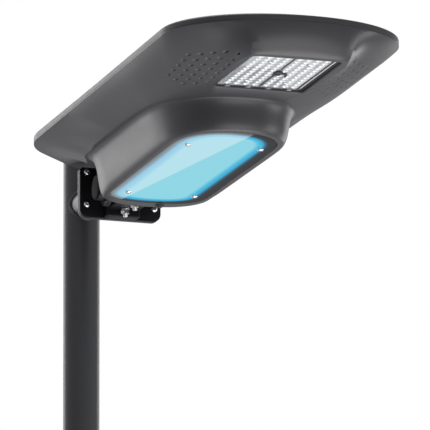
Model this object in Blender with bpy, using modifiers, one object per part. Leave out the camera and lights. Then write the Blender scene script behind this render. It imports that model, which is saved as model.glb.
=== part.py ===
"""Solar street lamp: one head with panel, battery box and LED module, tilting on a pole's side arm.

Metres, +Z up.  The origin is the centre of the pole section's lower end face.  The street lies
towards -Y: a distance s from the pole's axis towards the street is y = -s.  The head's own
sizes are (x, s, w), where w is the height above the lower edge of its rim; the head leans back
by RISE about the width axis, so its pieces are parented to an empty on the tilt axis.
"""
import math

import bmesh
import bpy
from mathutils import Matrix, Vector

# ---- mast -------------------------------------------------------------------------------
ARM_REF_Z = 0.520          # reference height of the arm joint above the pole's lower end
POLE_R = 0.03015
POLE_WALL = 0.0032
POLE_TOP = ARM_REF_Z + 0.085
ARM_R = 0.02415
ARM_WALL = 0.003
ARM_Z = ARM_REF_Z - 0.004
FLANGE_S = 0.1990          # street-side distance of the flange's back face
FLANGE_T = 0.0060
CAST_T = 0.0075            # thickness of the bracket casting's plate
PLATE_HALF = 0.070
PLATE_LOW = ARM_REF_Z - 0.070
PLATE_HIGH = ARM_REF_Z + 0.0145
PLATE_CORNER = 0.014
BOLT_X = 0.0585
BOLT_Z = (ARM_REF_Z - 0.048, ARM_REF_Z + 0.007)
BULGE_HALF = 0.029
BULGE_S = 0.231
GAP = 0.0003               # running gap between pieces that touch

# ---- tilt joint -------------------------------------------------------------------------
PIVOT_S = 0.265
PIVOT_Z = ARM_REF_Z - 0.031
PIVOT_R = 0.0212
PIVOT_WALL = 0.0032
PIVOT_HALF = 0.058
EAR_X = (0.036, 0.044)
EAR_R = 0.030
UBOLT_R = 0.004
SADDLE_LOW = ARM_REF_Z - 0.0575
SADDLE_HIGH = ARM_REF_Z - 0.040
SADDLE_S = 0.3000

# ---- head outline and shell -------------------------------------------------------------
RISE = math.atan(0.015)    # the head's lean: the street end is the higher one
RIM_MID_S = 0.707
RIM_MID_Z = ARM_REF_Z + 0.0317
RIM_HALF = 0.187           # half-width of the rim at RIM_MID_S
RIM_WIDEN = 0.031          # growth of that half-width towards the street
NOSE_S = 1.050             # the elliptical street end starts here
NOSE_LEN = 0.1495
NOSE_POWER = 2.09
TAIL_CORNERS = ((0.062, 0.163, 0.050), (0.1830, 0.2830, 0.140))
HULL_CENTRE_S = 0.650
HULL_DEPTH = 0.050         # at the LED module
HULL_SHALLOW = 0.012       # how much less deep the hull is beside the battery box
SKIN = 0.003
SHELL_TOP = 0.0020
DECK_TOP = 0.0125
BOX_FLOOR = -0.1016
BOX_INNER_FLOOR = BOX_FLOOR + 0.0085
BAY_HALF = 0.080
BAY_S = 0.3270

# ---- LED module -------------------------------------------------------------------------
LED_S = 1.045
LED_HALF = (0.0755, 0.1055)
LED_DEPTH = 0.0085
LED_SCREW = (0.0331, 0.0628)

# ---- window -----------------------------------------------------------------------------
COVER_T = 0.004
COVER_SCREWS = ((-0.057, 0.432), (0.057, 0.432), (-0.062, 0.765), (0.062, 0.765))
BUTTON_PLACE = (0.022, 0.3545)
BUTTON_TRAVEL = 0.0025

OBJECT_NAME = "solar_street_lamp"


# ---- scene set-up -----------------------------------------------------------------------
def clear_scene():
    for item in list(bpy.data.objects):
        bpy.data.objects.remove(item, do_unlink=True)


def new_collection(name):
    collection = bpy.data.collections.new(name)
    bpy.context.scene.collection.children.link(collection)
    return collection


def make_material(name, colour, roughness, metallic=0.0):
    material = bpy.data.materials.new(name)
    material.use_nodes = True
    shader = material.node_tree.nodes["Principled BSDF"]
    shader.inputs["Base Color"].default_value = (*colour, 1.0)
    shader.inputs["Roughness"].default_value = roughness
    shader.inputs["Metallic"].default_value = metallic
    return material


clear_scene()
PARTS = new_collection(OBJECT_NAME)
CUTTERS = new_collection(OBJECT_NAME + "_cutters")
PAINT = make_material("charcoal_paint", (0.060, 0.061, 0.066), 0.55)
BLACK = make_material("black_satin", (0.020, 0.020, 0.022), 0.40)
STEEL = make_material("bright_steel", (0.72, 0.72, 0.74), 0.25, 1.0)
ALU = make_material("plain_aluminium", (0.60, 0.61, 0.63), 0.40, 1.0)
CLEAR = make_material("clear_optic", (0.85, 0.87, 0.90), 0.10)
CYAN = make_material("cyan_cover", (0.28, 0.65, 0.78), 0.15)
RUBBER = make_material("seal_rubber", (0.025, 0.025, 0.025), 0.80)
CELLS = make_material("solar_cells", (0.010, 0.016, 0.045), 0.12)
CELL_WRAP = make_material("battery_wrap", (0.05, 0.22, 0.42), 0.45)
BOARD = make_material("white_board", (0.80, 0.80, 0.78), 0.50)


# ---- objects ----------------------------------------------------------------------------
def add_object(name, mesh, material=None, parent=None):
    """Link a mesh as a part when it has a material, and as a cutter when it has none."""
    item = bpy.data.objects.new(name, mesh)
    if material is None:
        CUTTERS.objects.link(item)
        item.hide_render = True
        item.display_type = "WIRE"
    else:
        PARTS.objects.link(item)
        mesh.materials.append(material)
    item.parent = parent
    return item


def mesh_from(name, build):
    """Make a mesh by running build(bm) on an empty bmesh, with its faces pointing out."""
    bm = bmesh.new()
    build(bm)
    bmesh.ops.recalc_face_normals(bm, faces=bm.faces)
    mesh = bpy.data.meshes.new(name)
    bm.to_mesh(mesh)
    bm.free()
    return mesh


def box(name, low, high, material=None, parent=None, bevel=0.0, segments=2):
    """A box from its lowest to its highest corner, with an optional bevel on every edge."""
    size = [high[i] - low[i] for i in range(3)]
    middle = [(high[i] + low[i]) / 2 for i in range(3)]

    def build(bm):
        bmesh.ops.create_cube(bm, size=1.0, matrix=Matrix.Diagonal((*size, 1.0)))

    item = add_object(name, mesh_from(name, build), material, parent)
    item.location = middle
    if bevel:
        rounding = item.modifiers.new("edges", "BEVEL")
        rounding.width = bevel
        rounding.segments = segments
    return item


def rod(name, radius, length, place, turn, material=None, parent=None, steps=24):
    """A cylinder whose base centre is at place and whose axis is local +Z."""
    def build(bm):
        bmesh.ops.create_cone(bm, cap_ends=True, segments=steps, radius1=radius, radius2=radius,
                              depth=length, matrix=Matrix.Translation((0, 0, length / 2)))

    item = add_object(name, mesh_from(name, build), material, parent)
    item.location = place
    item.rotation_euler = turn
    return item


def turned(name, profile, place, turn, material, parent=None, steps=24, closed=False):
    """A profile of (radius, height) points, outer side top to bottom, turned about local Z."""
    mesh = bpy.data.meshes.new(name)
    edges = [(i, i + 1) for i in range(len(profile) - 1)]
    if closed:
        edges.append((len(profile) - 1, 0))
    mesh.from_pydata([(r, 0.0, z) for r, z in profile], edges, [])
    item = add_object(name, mesh, material, parent)
    item.location = place
    item.rotation_euler = turn
    screw = item.modifiers.new("turn", "SCREW")
    screw.steps = steps
    screw.render_steps = steps
    screw.use_merge_vertices = True
    screw.merge_threshold = 0.00001
    return item


def prism(name, outline, low, high, material=None, parent=None):
    """A flat outline of (x, y) points raised from low to high along Z."""
    def build(bm):
        face = bm.faces.new([bm.verts.new((x, y, low)) for x, y in outline])
        raised = bmesh.ops.extrude_face_region(bm, geom=[face])
        for part in raised["geom"]:
            if isinstance(part, bmesh.types.BMVert):
                part.co.z = high

    return add_object(name, mesh_from(name, build), material, parent)


def loft(name, rings, material=None, parent=None):
    """Skin a stack of rings with equal point counts and close both ends."""
    def build(bm):
        stack = [[bm.verts.new(point) for point in ring] for ring in rings]
        count = len(stack[0])
        for lower, upper in zip(stack, stack[1:]):
            for i in range(count):
                j = (i + 1) % count
                bm.faces.new((lower[i], lower[j], upper[j], upper[i]))
        bm.faces.new(stack[0])
        bm.faces.new(stack[-1])

    return add_object(name, mesh_from(name, build), material, parent)


def combine(item, tool, operation="DIFFERENCE"):
    joined = item.modifiers.new(operation.lower(), "BOOLEAN")
    joined.operation = operation
    joined.object = tool
    joined.solver = "EXACT"


def smooth(item, angle=0.6):
    item.data.shade_smooth()
    item.data.set_sharp_from_angle(angle=angle)


# ---- outlines ---------------------------------------------------------------------------
def rounded(corners, arc_steps=6):
    """Points of a closed polygon whose corners (x, y, radius) are replaced by arcs."""
    points = []
    count = len(corners)
    for i, (x, y, radius) in enumerate(corners):
        here = Vector((x, y))
        before = (Vector(corners[i - 1][:2]) - here).normalized()
        after = (Vector(corners[(i + 1) % count][:2]) - here).normalized()
        if radius == 0:
            points.append((x, y))
            continue
        half = before.angle(after) / 2
        centre = here + (before + after).normalized() * (radius / math.sin(half))
        start = here + before * (radius / math.tan(half)) - centre
        end = here + after * (radius / math.tan(half)) - centre
        sweep = start.angle_signed(end)
        for k in range(arc_steps + 1):
            angle = -sweep * k / arc_steps
            turned_point = Matrix.Rotation(angle, 2) @ start + centre
            points.append(tuple(turned_point))
    return points


def rim_half(s):
    return RIM_HALF + RIM_WIDEN * (s - RIM_MID_S)


def head_outline(steps=40):
    """Right half of the rim's plan, from the rear centre to the street end's centre."""
    tail = [(0.0, TAIL_CORNERS[0][1], 0.0), *TAIL_CORNERS, (rim_half(NOSE_S), NOSE_S, 0.0),
            (0.0, NOSE_S, 0.0)]
    half = rounded(tail, 12)[:-2]
    width = rim_half(NOSE_S)
    for k in range(steps + 1):
        angle = math.pi / 2 * k / steps
        half.append((width * math.cos(angle) ** (2 / NOSE_POWER),
                     NOSE_S + NOSE_LEN * math.sin(angle) ** (2 / NOSE_POWER)))
    return half


def slot_outline(half_width, widen, rear, front, rear_len, front_len, power, steps=24):
    """Right half of a long plan shape with straight sides and superelliptic ends."""
    middle = (rear + front) / 2
    first = rear + rear_len
    last = front - front_len
    half = []
    for k in range(steps + 1):
        angle = math.pi / 2 * k / steps
        width = half_width + widen * (first - middle)
        half.append((width * math.sin(angle) ** (2 / power),
                     first - rear_len * math.cos(angle) ** (2 / power)))
    for k in range(steps + 1):
        angle = math.pi / 2 * k / steps
        width = half_width + widen * (last - middle)
        half.append((width * math.cos(angle) ** (2 / power),
                     last + front_len * math.sin(angle) ** (2 / power)))
    return half


def even_points(half, count):
    """Spread count + 1 points evenly along an open chain."""
    lengths = [0.0]
    for (x0, s0), (x1, s1) in zip(half, half[1:]):
        lengths.append(lengths[-1] + math.hypot(x1 - x0, s1 - s0))
    points = []
    piece = 0
    for k in range(count + 1):
        target = lengths[-1] * k / count
        while piece < len(half) - 2 and lengths[piece + 1] < target:
            piece += 1
        span = lengths[piece + 1] - lengths[piece]
        part = 0.0 if span == 0 else (target - lengths[piece]) / span
        (x0, s0), (x1, s1) = half[piece], half[piece + 1]
        points.append((x0 + (x1 - x0) * part, s0 + (s1 - s0) * part))
    return points


def bearings(count):
    """Directions from the hull's centre to points spread evenly along the rim's half."""
    return [math.atan2(x, HULL_CENTRE_S - s) for x, s in even_points(head_outline(), count)]


def ray_points(half, angles):
    """Where rays from the hull's centre, at angles from the rear direction, meet a half outline."""
    found = []
    reach = [math.atan2(x, HULL_CENTRE_S - s) for x, s in half]
    for angle in angles:
        piece = 0
        while piece < len(half) - 2 and reach[piece + 1] < angle:
            piece += 1
        (x0, s0), (x1, s1) = half[piece], half[piece + 1]
        ray = Vector((math.sin(angle), -math.cos(angle)))
        start = Vector((x0, s0 - HULL_CENTRE_S))
        along = Vector((x1 - x0, s1 - s0))
        turn = ray.x * along.y - ray.y * along.x
        distance = (start.x * along.y - start.y * along.x) / turn
        found.append((ray.x * distance, HULL_CENTRE_S + ray.y * distance))
    return found


def whole(half):
    """Close a half outline by mirroring it in the plane x = 0."""
    return half + [(-x, s) for x, s in reversed(half[1:-1])]


# ---- head shell -------------------------------------------------------------------------
FLAT_REGION = rounded([(0.0, 0.330, 0.0), (0.100, 0.330, 0.040), (0.1285, 0.470, 0.150),
                       (0.1285, 0.790, 0.250), (0.090, 0.990, 0.250), (0.088, 1.166, 0.025),
                       (0.0, 1.166, 0.0)], 8)
BOX_ROOT = slot_outline(0.1225, 0.015, 0.3335, 0.892, 0.080, 0.170, 2.25)
BOX_BASE = slot_outline(0.0905, 0.014, 0.3385, 0.8640, 0.075, 0.110, 2.25)
COVER = slot_outline(0.0835, 0.010, 0.3640, 0.8560, 0.062, 0.100, 2.25)


def blend(first, second, share):
    return [(a[0] + (b[0] - a[0]) * share, a[1] + (b[1] - a[1]) * share)
            for a, b in zip(first, second)]


def shrink(points, inset):
    """Move points towards the hull's centre by the distance inset."""
    moved = []
    for x, s in points:
        share = 1 - inset / math.hypot(x, s - HULL_CENTRE_S)
        moved.append((x * share, HULL_CENTRE_S + (s - HULL_CENTRE_S) * share))
    return moved


def ease(value):
    value = min(max(value, 0.0), 1.0)
    return value * value * (3 - 2 * value)


def keep_outside(points, inner, margin):
    """Push points outwards along their rays until they clear the inner ones by the margin."""
    kept = []
    for outer, pushed in zip(points, shrink(inner, -margin)):
        reach = [math.hypot(x, s - HULL_CENTRE_S) for x, s in (outer, pushed)]
        kept.append(outer if reach[0] > reach[1] else pushed)
    return kept


def hull_depth(s):
    return HULL_DEPTH - HULL_SHALLOW * (1 - ease((s - 0.62) / 0.30))


def shell_rings(count, hull_steps, wall_steps, inset, top, floor):
    """Half rings (x, s, w) from the top of the rim to the floor of the battery box.

    The hull falls in a full curve at the street end and a flatter one at the sides, and runs
    up to the rim in a long ramp at the pole end.  inset moves the whole surface inwards, which
    gives the cavity.
    """
    angles = bearings(count)
    rim = shrink(ray_points(head_outline(), angles), inset)
    flat = keep_outside(ray_points(FLAT_REGION, angles), ray_points(BOX_ROOT, angles), 0.003)
    root = shrink(ray_points(BOX_ROOT, angles), inset)
    base = shrink(ray_points(BOX_BASE, angles), inset)
    rings = [[(x, s, top) for x, s in rim]]
    for k in range(hull_steps + 1):
        share = k / hull_steps
        phase = math.pi / 2 * share
        ring = []
        for edge, end, angle in zip(rim, flat, angles):
            curve = 0.35 + 0.35 * ease((-math.cos(angle) - 0.90) / 0.09)
            across = curve * (1 - math.cos(phase)) + (1 - curve) * share
            full = curve * math.sin(phase) + (1 - curve) * share
            rear = ease((math.cos(angle) - 0.45) / 0.45)
            fall = full + (across ** 1.5 - full) * rear
            x, s = blend([edge], [end], across)[0]
            ring.append((x, s, -hull_depth(s) * fall + inset * across))
        rings.append(ring)
    for k in range(wall_steps + 1):
        share = k / wall_steps
        across = share + 0.08 * math.sin(2 * math.pi * share)
        ring = []
        for (x, s), (_, root_s) in zip(blend(root, base, across), root):
            start = inset - hull_depth(root_s)
            ring.append((x, s, start + (floor - start) * ease(share)))
        rings.append(ring)
    return rings


# The lift from the rim's lower edge to the tilt axis, in the head's own axes.
W_LIFT = (RIM_MID_Z - PIVOT_Z - (RIM_MID_S - PIVOT_S) * math.sin(RISE)) / math.cos(RISE)


def in_head(rings):
    """Mirror half rings (x, s, w) and express them in the tilt empty's axes."""
    return [[(x, PIVOT_S - s, w + W_LIFT) for x, s, w in
             ring + [(-x, s, w) for x, s, w in reversed(ring[1:-1])]] for ring in rings]


def head_prism(name, half, low, high, material=None):
    """A plan outline, given as its right half, raised between two w levels on the head."""
    outline = [(x, PIVOT_S - s) for x, s in whole(half)]
    return prism(name, outline, low + W_LIFT, high + W_LIFT, material, HEAD)


def head_box(name, low, high, material=None, bevel=0.0):
    """A box between two (x, s, w) corners on the head."""
    return box(name, (low[0], PIVOT_S - high[1], low[2] + W_LIFT),
               (high[0], PIVOT_S - low[1], high[2] + W_LIFT), material, HEAD, bevel)


def head_place(x, s, w):
    return (x, PIVOT_S - s, w + W_LIFT)


def frame_half(half_x, half_s, corner, middle_s, steps=4):
    """Right half of a rounded rectangle in plan."""
    return rounded([(0.0, middle_s - half_s, 0.0), (half_x, middle_s - half_s, corner),
                    (half_x, middle_s + half_s, corner), (0.0, middle_s + half_s, 0.0)], steps)


UP = (0.0, 0.0, 0.0)
DOWN = (math.pi, 0.0, 0.0)
STREET = (math.pi / 2, 0.0, 0.0)
ACROSS = (0.0, math.pi / 2, 0.0)


# ---- fasteners --------------------------------------------------------------------------
def dome_bolt(name, radius, length, place, turn, parent=None):
    """A button-head bolt: head on the local +Z side of place, shank below it."""
    head = radius * 1.82
    profile = [(0.0, radius * 1.15), (head * 0.55, radius * 1.02), (head * 0.88, radius * 0.6),
               (head, radius * 0.15), (head, 0.0), (radius, 0.0), (radius, -length), (0.0, -length)]
    return turned(name, profile, place, turn, STEEL, parent, steps=12)


def hex_nut(name, bore, across_flats, height, place, turn):
    """A hexagon nut that starts at place and grows along local +Z."""
    def build(bm):
        corner = across_flats / math.sqrt(3)
        bmesh.ops.create_cone(bm, cap_ends=True, segments=6, radius1=corner, radius2=corner,
                              depth=height, matrix=Matrix.Translation((0, 0, height / 2)))

    item = add_object(name, mesh_from(name, build), STEEL)
    item.location = place
    item.rotation_euler = turn
    hole = rod(name + "_bore", bore, height * 3, (0, 0, -height), UP, parent=item, steps=12)
    combine(item, hole)
    return item


def washer(name, bore, outer, height, place, turn):
    profile = [(outer, height), (outer, 0.0), (bore, 0.0), (bore, height)]
    return turned(name, profile, place, turn, STEEL, closed=True)


# ---- mast -------------------------------------------------------------------------------
def build_pole():
    inner = POLE_R - POLE_WALL
    turned("pole_tube", [(POLE_R, POLE_TOP), (POLE_R, 0.0), (inner, 0.0), (inner, POLE_TOP)],
           (0, 0, 0), UP, PAINT, steps=32, closed=True)
    lid = POLE_R + 0.0006
    plug = inner - GAP
    profile = [(0.0, 0.0060), (lid * 0.6, 0.0054), (lid * 0.93, 0.0036), (lid, 0.0015), (lid, 0.0),
               (plug, 0.0), (plug, -0.014), (0.0, -0.014)]
    turned("pole_cap", profile, (0, 0, POLE_TOP + GAP), UP, BLACK, steps=24)


def build_arm():
    inner = ARM_R - ARM_WALL
    end = FLANGE_S - GAP
    profile = [(ARM_R, end), (ARM_R, 0.0), (inner, 0.0), (inner, end)]
    arm = turned("arm_tube", profile, (0, 0, ARM_Z), STREET, PAINT, steps=24, closed=True)
    combine(arm, rod("arm_cope", POLE_R + GAP, 0.2, (0, 0, ARM_Z - 0.1), UP, steps=40))


def plate_outline():
    low, high = PLATE_LOW, PLATE_HIGH
    return rounded([(-PLATE_HALF, low, PLATE_CORNER), (PLATE_HALF, low, PLATE_CORNER),
                    (PLATE_HALF, high, 0.006), (-PLATE_HALF, high, 0.006)], 5)


def upright(name, outline, near, far, material=None):
    """An (x, z) outline made solid between two distances from the pole."""
    item = prism(name, outline, near, far, material)
    item.rotation_euler = STREET
    return item


def build_bracket():
    flange = upright("arm_flange", plate_outline(), FLANGE_S, FLANGE_S + FLANGE_T, PAINT)
    near = FLANGE_S + FLANGE_T + GAP
    far = near + CAST_T
    cast = upright("bracket_casting", plate_outline(), near, far, BLACK)
    bulge = box("bracket_bulge", (-BULGE_HALF, -BULGE_S, PLATE_LOW + 0.0004),
                (BULGE_HALF, -near - 0.002, ARM_REF_Z - 0.004), bevel=0.003)
    combine(cast, bulge, "UNION")
    z = ARM_REF_Z
    notch = [(0.0042, z - 0.047), (0.0228, z - 0.029), (0.0367, z - 0.005), (0.0460, z + 0.05)]
    notch += [(-x, level) for x, level in reversed(notch)]
    combine(cast, upright("bracket_notch", notch, near - 0.01, BULGE_S + 0.01))
    saddle = box("bracket_saddle", (-0.0268, -SADDLE_S, SADDLE_LOW),
                 (0.0268, -far + 0.0031, SADDLE_HIGH), bevel=0.002)
    combine(cast, saddle, "UNION")
    seat = rod("bracket_seat", PIVOT_R + GAP, 0.2, (-0.1, -PIVOT_S, PIVOT_Z), ACROSS, steps=24)
    combine(cast, seat)
    leg = PIVOT_R + GAP + UBOLT_R
    for i, s in enumerate((PIVOT_S - leg, PIVOT_S + leg), 1):
        hole = rod(f"leg_hole_{i}", UBOLT_R + 0.0004, 0.04, (0, -s, SADDLE_LOW - 0.01), UP, steps=16)
        combine(cast, hole)
        washer(f"u_bolt_washer_{i}", UBOLT_R + 0.0004, 0.0078, 0.0015,
               (0, -s, SADDLE_LOW - GAP), DOWN)
        hex_nut(f"u_bolt_nut_{i}", UBOLT_R + 0.0004, 0.0130, 0.0065,
                (0, -s, SADDLE_LOW - 2 * GAP - 0.0015), DOWN)
    number = 0
    for x in (-BOLT_X, BOLT_X):
        for level in BOLT_Z:
            number += 1
            hole = rod(f"plate_hole_{number}", 0.0033, 0.04, (x, -near + 0.02, level), STREET, steps=16)
            combine(flange, hole)
            combine(cast, hole)
            dome_bolt(f"bracket_bolt_{number}", 0.0030, 0.0205, (x, -far - GAP, level), STREET)
            hex_nut(f"bracket_nut_{number}", 0.0033, 0.0100, 0.0048,
                    (x, -FLANGE_S + GAP + 0.0048, level), STREET)


def build_u_bolt():
    leg = PIVOT_R + GAP + UBOLT_R
    foot = ARM_REF_Z - 0.0715
    path = [(PIVOT_S - leg, foot)]
    for k in range(13):
        angle = math.pi * k / 12
        path.append((PIVOT_S - leg * math.cos(angle), PIVOT_Z + leg * math.sin(angle)))
    path.append((PIVOT_S + leg, foot))
    curve = bpy.data.curves.new("u_bolt", "CURVE")
    curve.dimensions = "3D"
    curve.bevel_depth = UBOLT_R
    curve.bevel_resolution = 2
    curve.use_fill_caps = True
    spline = curve.splines.new("POLY")
    spline.points.add(len(path) - 1)
    for point, (s, z) in zip(spline.points, path):
        point.co = (0.0, -s, z, 1.0)
    item = bpy.data.objects.new("u_bolt", curve)
    PARTS.objects.link(item)
    curve.materials.append(STEEL)


# ---- head -------------------------------------------------------------------------------
HEAD = bpy.data.objects.new("head_tilt", None)
PARTS.objects.link(HEAD)
HEAD.location = (0.0, -PIVOT_S, PIVOT_Z)
HEAD.rotation_euler = (-RISE, 0.0, 0.0)


def drill_head(item, name, places, radius, low, high):
    """Cut upright holes through an item of the head."""
    for i, (x, s) in enumerate(places, 1):
        hole = rod(f"{name}_{i}", radius, high - low, head_place(x, s, low), UP, parent=HEAD, steps=12)
        combine(item, hole)


TILT_BOLTS = ((-0.022, 0.241), (0.022, 0.241), (-0.022, 0.304), (0.022, 0.304))
LED_SCREWS = tuple((x, LED_S + s) for x in (-LED_SCREW[0], LED_SCREW[0])
                   for s in (-LED_SCREW[1], LED_SCREW[1]))
SOLAR_HALF = rounded([(0.0, 0.342, 0.0), (0.155, 0.342, 0.014), (0.168, 1.100, 0.014),
                      (0.0, 1.100, 0.0)], 4)
COUNT = 30


def build_shell():
    outer = in_head(shell_rings(COUNT, 5, 5, 0.0, SHELL_TOP, BOX_FLOOR))
    cavity = in_head(shell_rings(COUNT, 5, 5, SKIN, 0.02, BOX_INNER_FLOOR))
    shell = loft("lower_housing", outer, PAINT, HEAD)
    hollow = loft("housing_cavity", cavity, parent=HEAD)
    bay_half = rounded([(0.0, 0.10, 0.0), (BAY_HALF, 0.10, 0.0), (BAY_HALF, BAY_S, 0.020),
                        (0.0, BAY_S, 0.0)], 4)
    wall_half = rounded([(0.0, 0.09, 0.0), (BAY_HALF + SKIN, 0.09, 0.0),
                         (BAY_HALF + SKIN, BAY_S + SKIN, 0.023), (0.0, BAY_S + SKIN, 0.0)], 4)
    bay = head_prism("bracket_bay", bay_half, -0.2, 0.0)
    combine(hollow, head_prism("bracket_bay_wall", wall_half, -0.21, 0.05))
    pocket_top = -HULL_DEPTH + LED_DEPTH
    led_pocket = head_prism("led_pocket", frame_half(*LED_HALF, 0.008, LED_S), -0.1, pocket_top)
    led_wall = head_prism("led_pocket_wall",
                          frame_half(LED_HALF[0] + SKIN, LED_HALF[1] + SKIN, 0.011, LED_S),
                          -0.11, pocket_top + SKIN)
    combine(hollow, led_wall)
    angles = bearings(COUNT)
    cover = ray_points(COVER, angles)
    seat = head_prism("cover_seat", shrink(cover, -GAP), -0.2, BOX_FLOOR + COVER_T + 0.0016)
    window = head_prism("window_hole", shrink(cover, 0.007), -0.19, -0.08)
    for cutter in (hollow, bay, led_pocket, seat, window, arm_relief()):
        combine(shell, cutter)
    drill_head(shell, "web_hole", TILT_BOLTS, 0.0033, -0.02, 0.02)
    drill_head(shell, "led_screw_hole", LED_SCREWS, 0.0018, -0.06, -0.03)
    drill_head(shell, "led_wire_hole", [(0.0, LED_S)], 0.006, -0.06, -0.03)
    drill_head(shell, "button_hole", [BUTTON_PLACE], 0.0063, -0.12, -0.088)
    smooth(shell)


def arm_relief():
    """The clearance above the side arm when the street end is tilted up."""
    return head_box("arm_relief", (-0.030, 0.10, -0.1), (0.030, 0.222, 0.0085))


def build_deck():
    deck = head_prism("panel_frame", even_points(head_outline(), 30), SHELL_TOP + GAP, DECK_TOP, PAINT)
    rounding = deck.modifiers.new("top_edge", "BEVEL")
    rounding.width = 0.0025
    rounding.segments = 1
    rounding.limit_method = "ANGLE"
    combine(deck, head_prism("solar_pocket", SOLAR_HALF, DECK_TOP - 0.0045, 0.05))
    combine(deck, head_prism("solar_opening", shrink(SOLAR_HALF, 0.014), -0.05, 0.04))
    combine(deck, arm_relief())
    drill_head(deck, "deck_hole", TILT_BOLTS, 0.0033, -0.02, 0.0095)
    head_prism("solar_laminate", shrink(SOLAR_HALF, 0.0006), DECK_TOP - 0.0042, DECK_TOP - 0.0004,
               CELLS)


def build_tilt_bracket():
    base = head_box("tilt_bracket", (-0.054, 0.226, -0.0063), (0.054, 0.318, -GAP), BLACK)
    top = W_LIFT - 0.003
    ear = [(EAR_R, top), (-EAR_R, top)]
    for k in range(13):
        angle = math.pi + math.pi * k / 12
        ear.append((EAR_R * math.cos(angle), EAR_R * math.sin(angle)))
    for side in (-1, 1):
        near, far = sorted((side * EAR_X[0], side * EAR_X[1]))
        name = "ear_left" if side < 0 else "ear_right"
        cheek = prism(name, [(-z, y) for y, z in ear], near, far, parent=HEAD)
        cheek.rotation_euler = ACROSS
        combine(base, cheek, "UNION")
    hole = rod("ear_hole", PIVOT_R + GAP, 0.2, (-0.1, 0, 0), ACROSS, parent=HEAD, steps=24)
    combine(base, hole)
    drill_head(base, "base_hole", TILT_BOLTS, 0.0033, -0.02, 0.02)
    inner = PIVOT_R - PIVOT_WALL
    half = PIVOT_HALF
    turned("pivot_tube", [(PIVOT_R, half), (PIVOT_R, -half), (inner, -half), (inner, half)],
           (0, 0, 0), ACROSS, ALU, HEAD, steps=24, closed=True)
    plug = inner - GAP
    profile = [(0.0, 0.0025), (PIVOT_R - 0.002, 0.0025), (PIVOT_R, 0.0010), (PIVOT_R, 0.0),
               (plug, 0.0), (plug, -0.009), (0.0, -0.009)]
    turned("pivot_plug_right", profile, (half + GAP, 0, 0), ACROSS, BLACK, HEAD, steps=20)
    turned("pivot_plug_left", profile, (-half - GAP, 0, 0), (0, -math.pi / 2, 0), BLACK, HEAD, steps=20)
    for i, (x, s) in enumerate(TILT_BOLTS, 1):
        dome_bolt(f"tilt_bolt_{i}", 0.0030, 0.0150, head_place(x, s, -0.0063 - GAP), DOWN, HEAD)


def build_led_module():
    roof = -HULL_DEPTH + LED_DEPTH
    board_low = roof - GAP - 0.0016
    board = head_prism("led_board", frame_half(0.0712, 0.1012, 0.004, LED_S), board_low, roof - GAP,
                       BOARD)
    lens_top = board_low - GAP
    lens = head_prism("lens_plate", frame_half(0.0706, 0.1006, 0.004, LED_S), lens_top - 0.004,
                      lens_top, CLEAR)
    drill_head(board, "board_hole", LED_SCREWS, 0.0018, -0.06, -0.03)
    drill_head(board, "board_wire_hole", [(0.0, LED_S)], 0.006, -0.06, -0.03)
    drill_head(lens, "lens_hole", LED_SCREWS, 0.0018, -0.06, -0.03)
    seal = head_prism("led_gasket", frame_half(0.0752, 0.1052, 0.0077, LED_S), roof - 0.0050,
                      roof - GAP, RUBBER)
    combine(seal, head_prism("led_gasket_hole", frame_half(0.0717, 0.1017, 0.0045, LED_S), -0.1, 0.0))
    face = lens_top - 0.004
    head_box("led_connector", (-0.0055, LED_S - 0.014, face - 0.0032),
             (0.0055, LED_S + 0.014, face - GAP), BLACK, bevel=0.001)
    for i, (x, s) in enumerate(LED_SCREWS, 1):
        dome_bolt(f"led_screw_{i}", 0.0015, 0.0085, head_place(x, s, face - GAP), DOWN, HEAD)
    build_heatsink(roof + SKIN + GAP)


def build_heatsink(low):
    """A finned plate above the LED pocket: a comb outline made solid along the street axis."""
    fins = 10
    half = 0.068
    pitch = 2 * half / fins
    base = low + 0.004
    tip = -0.010
    comb = [(-half, low), (half, low)]
    for k in range(fins):
        right = half - k * pitch
        comb += [(right, tip), (right - 0.003, tip), (right - 0.003, base)]
        if k < fins - 1:
            comb.append((right - pitch, base))
    comb.append((-half, base))
    outline = [(x, w + W_LIFT) for x, w in comb]
    sink = prism("led_heatsink", outline, LED_S - 0.095 - PIVOT_S, LED_S + 0.085 - PIVOT_S, ALU, HEAD)
    sink.rotation_euler = STREET
    drill_head(sink, "sink_hole", LED_SCREWS, 0.0018, -0.05, -0.03)
    drill_head(sink, "sink_wire_hole", [(0.0, LED_S)], 0.006, -0.05, -0.02)


def build_window():
    angles = bearings(COUNT)
    outline = ray_points(COVER, angles)
    cover = head_prism("window_cover", outline, BOX_FLOOR, BOX_FLOOR + COVER_T, CYAN)
    top = BOX_FLOOR + COVER_T
    seal = head_prism("window_gasket", shrink(outline, 0.0005), top + GAP, top + 0.0013, RUBBER)
    combine(seal, head_prism("window_gasket_hole", shrink(outline, 0.0068), -0.2, 0.0))
    guide = head_prism("light_guide", shrink(outline, 0.0095), BOX_INNER_FLOOR + GAP,
                       BOX_INNER_FLOOR + 0.0033, CLEAR)
    tray = head_prism("battery_tray", shrink(outline, 0.0095), BOX_INNER_FLOOR + 0.0040,
                      BOX_INNER_FLOOR + 0.0060, ALU)
    for item, label in ((cover, "cover"), (guide, "guide"), (tray, "tray")):
        drill_head(item, label + "_hole", COVER_SCREWS, 0.0033, -0.12, -0.08)
    for i, (x, s) in enumerate(COVER_SCREWS, 1):
        dome_bolt(f"cover_screw_{i}", 0.0030, 0.0170, head_place(x, s, BOX_FLOOR - GAP), DOWN, HEAD)


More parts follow.
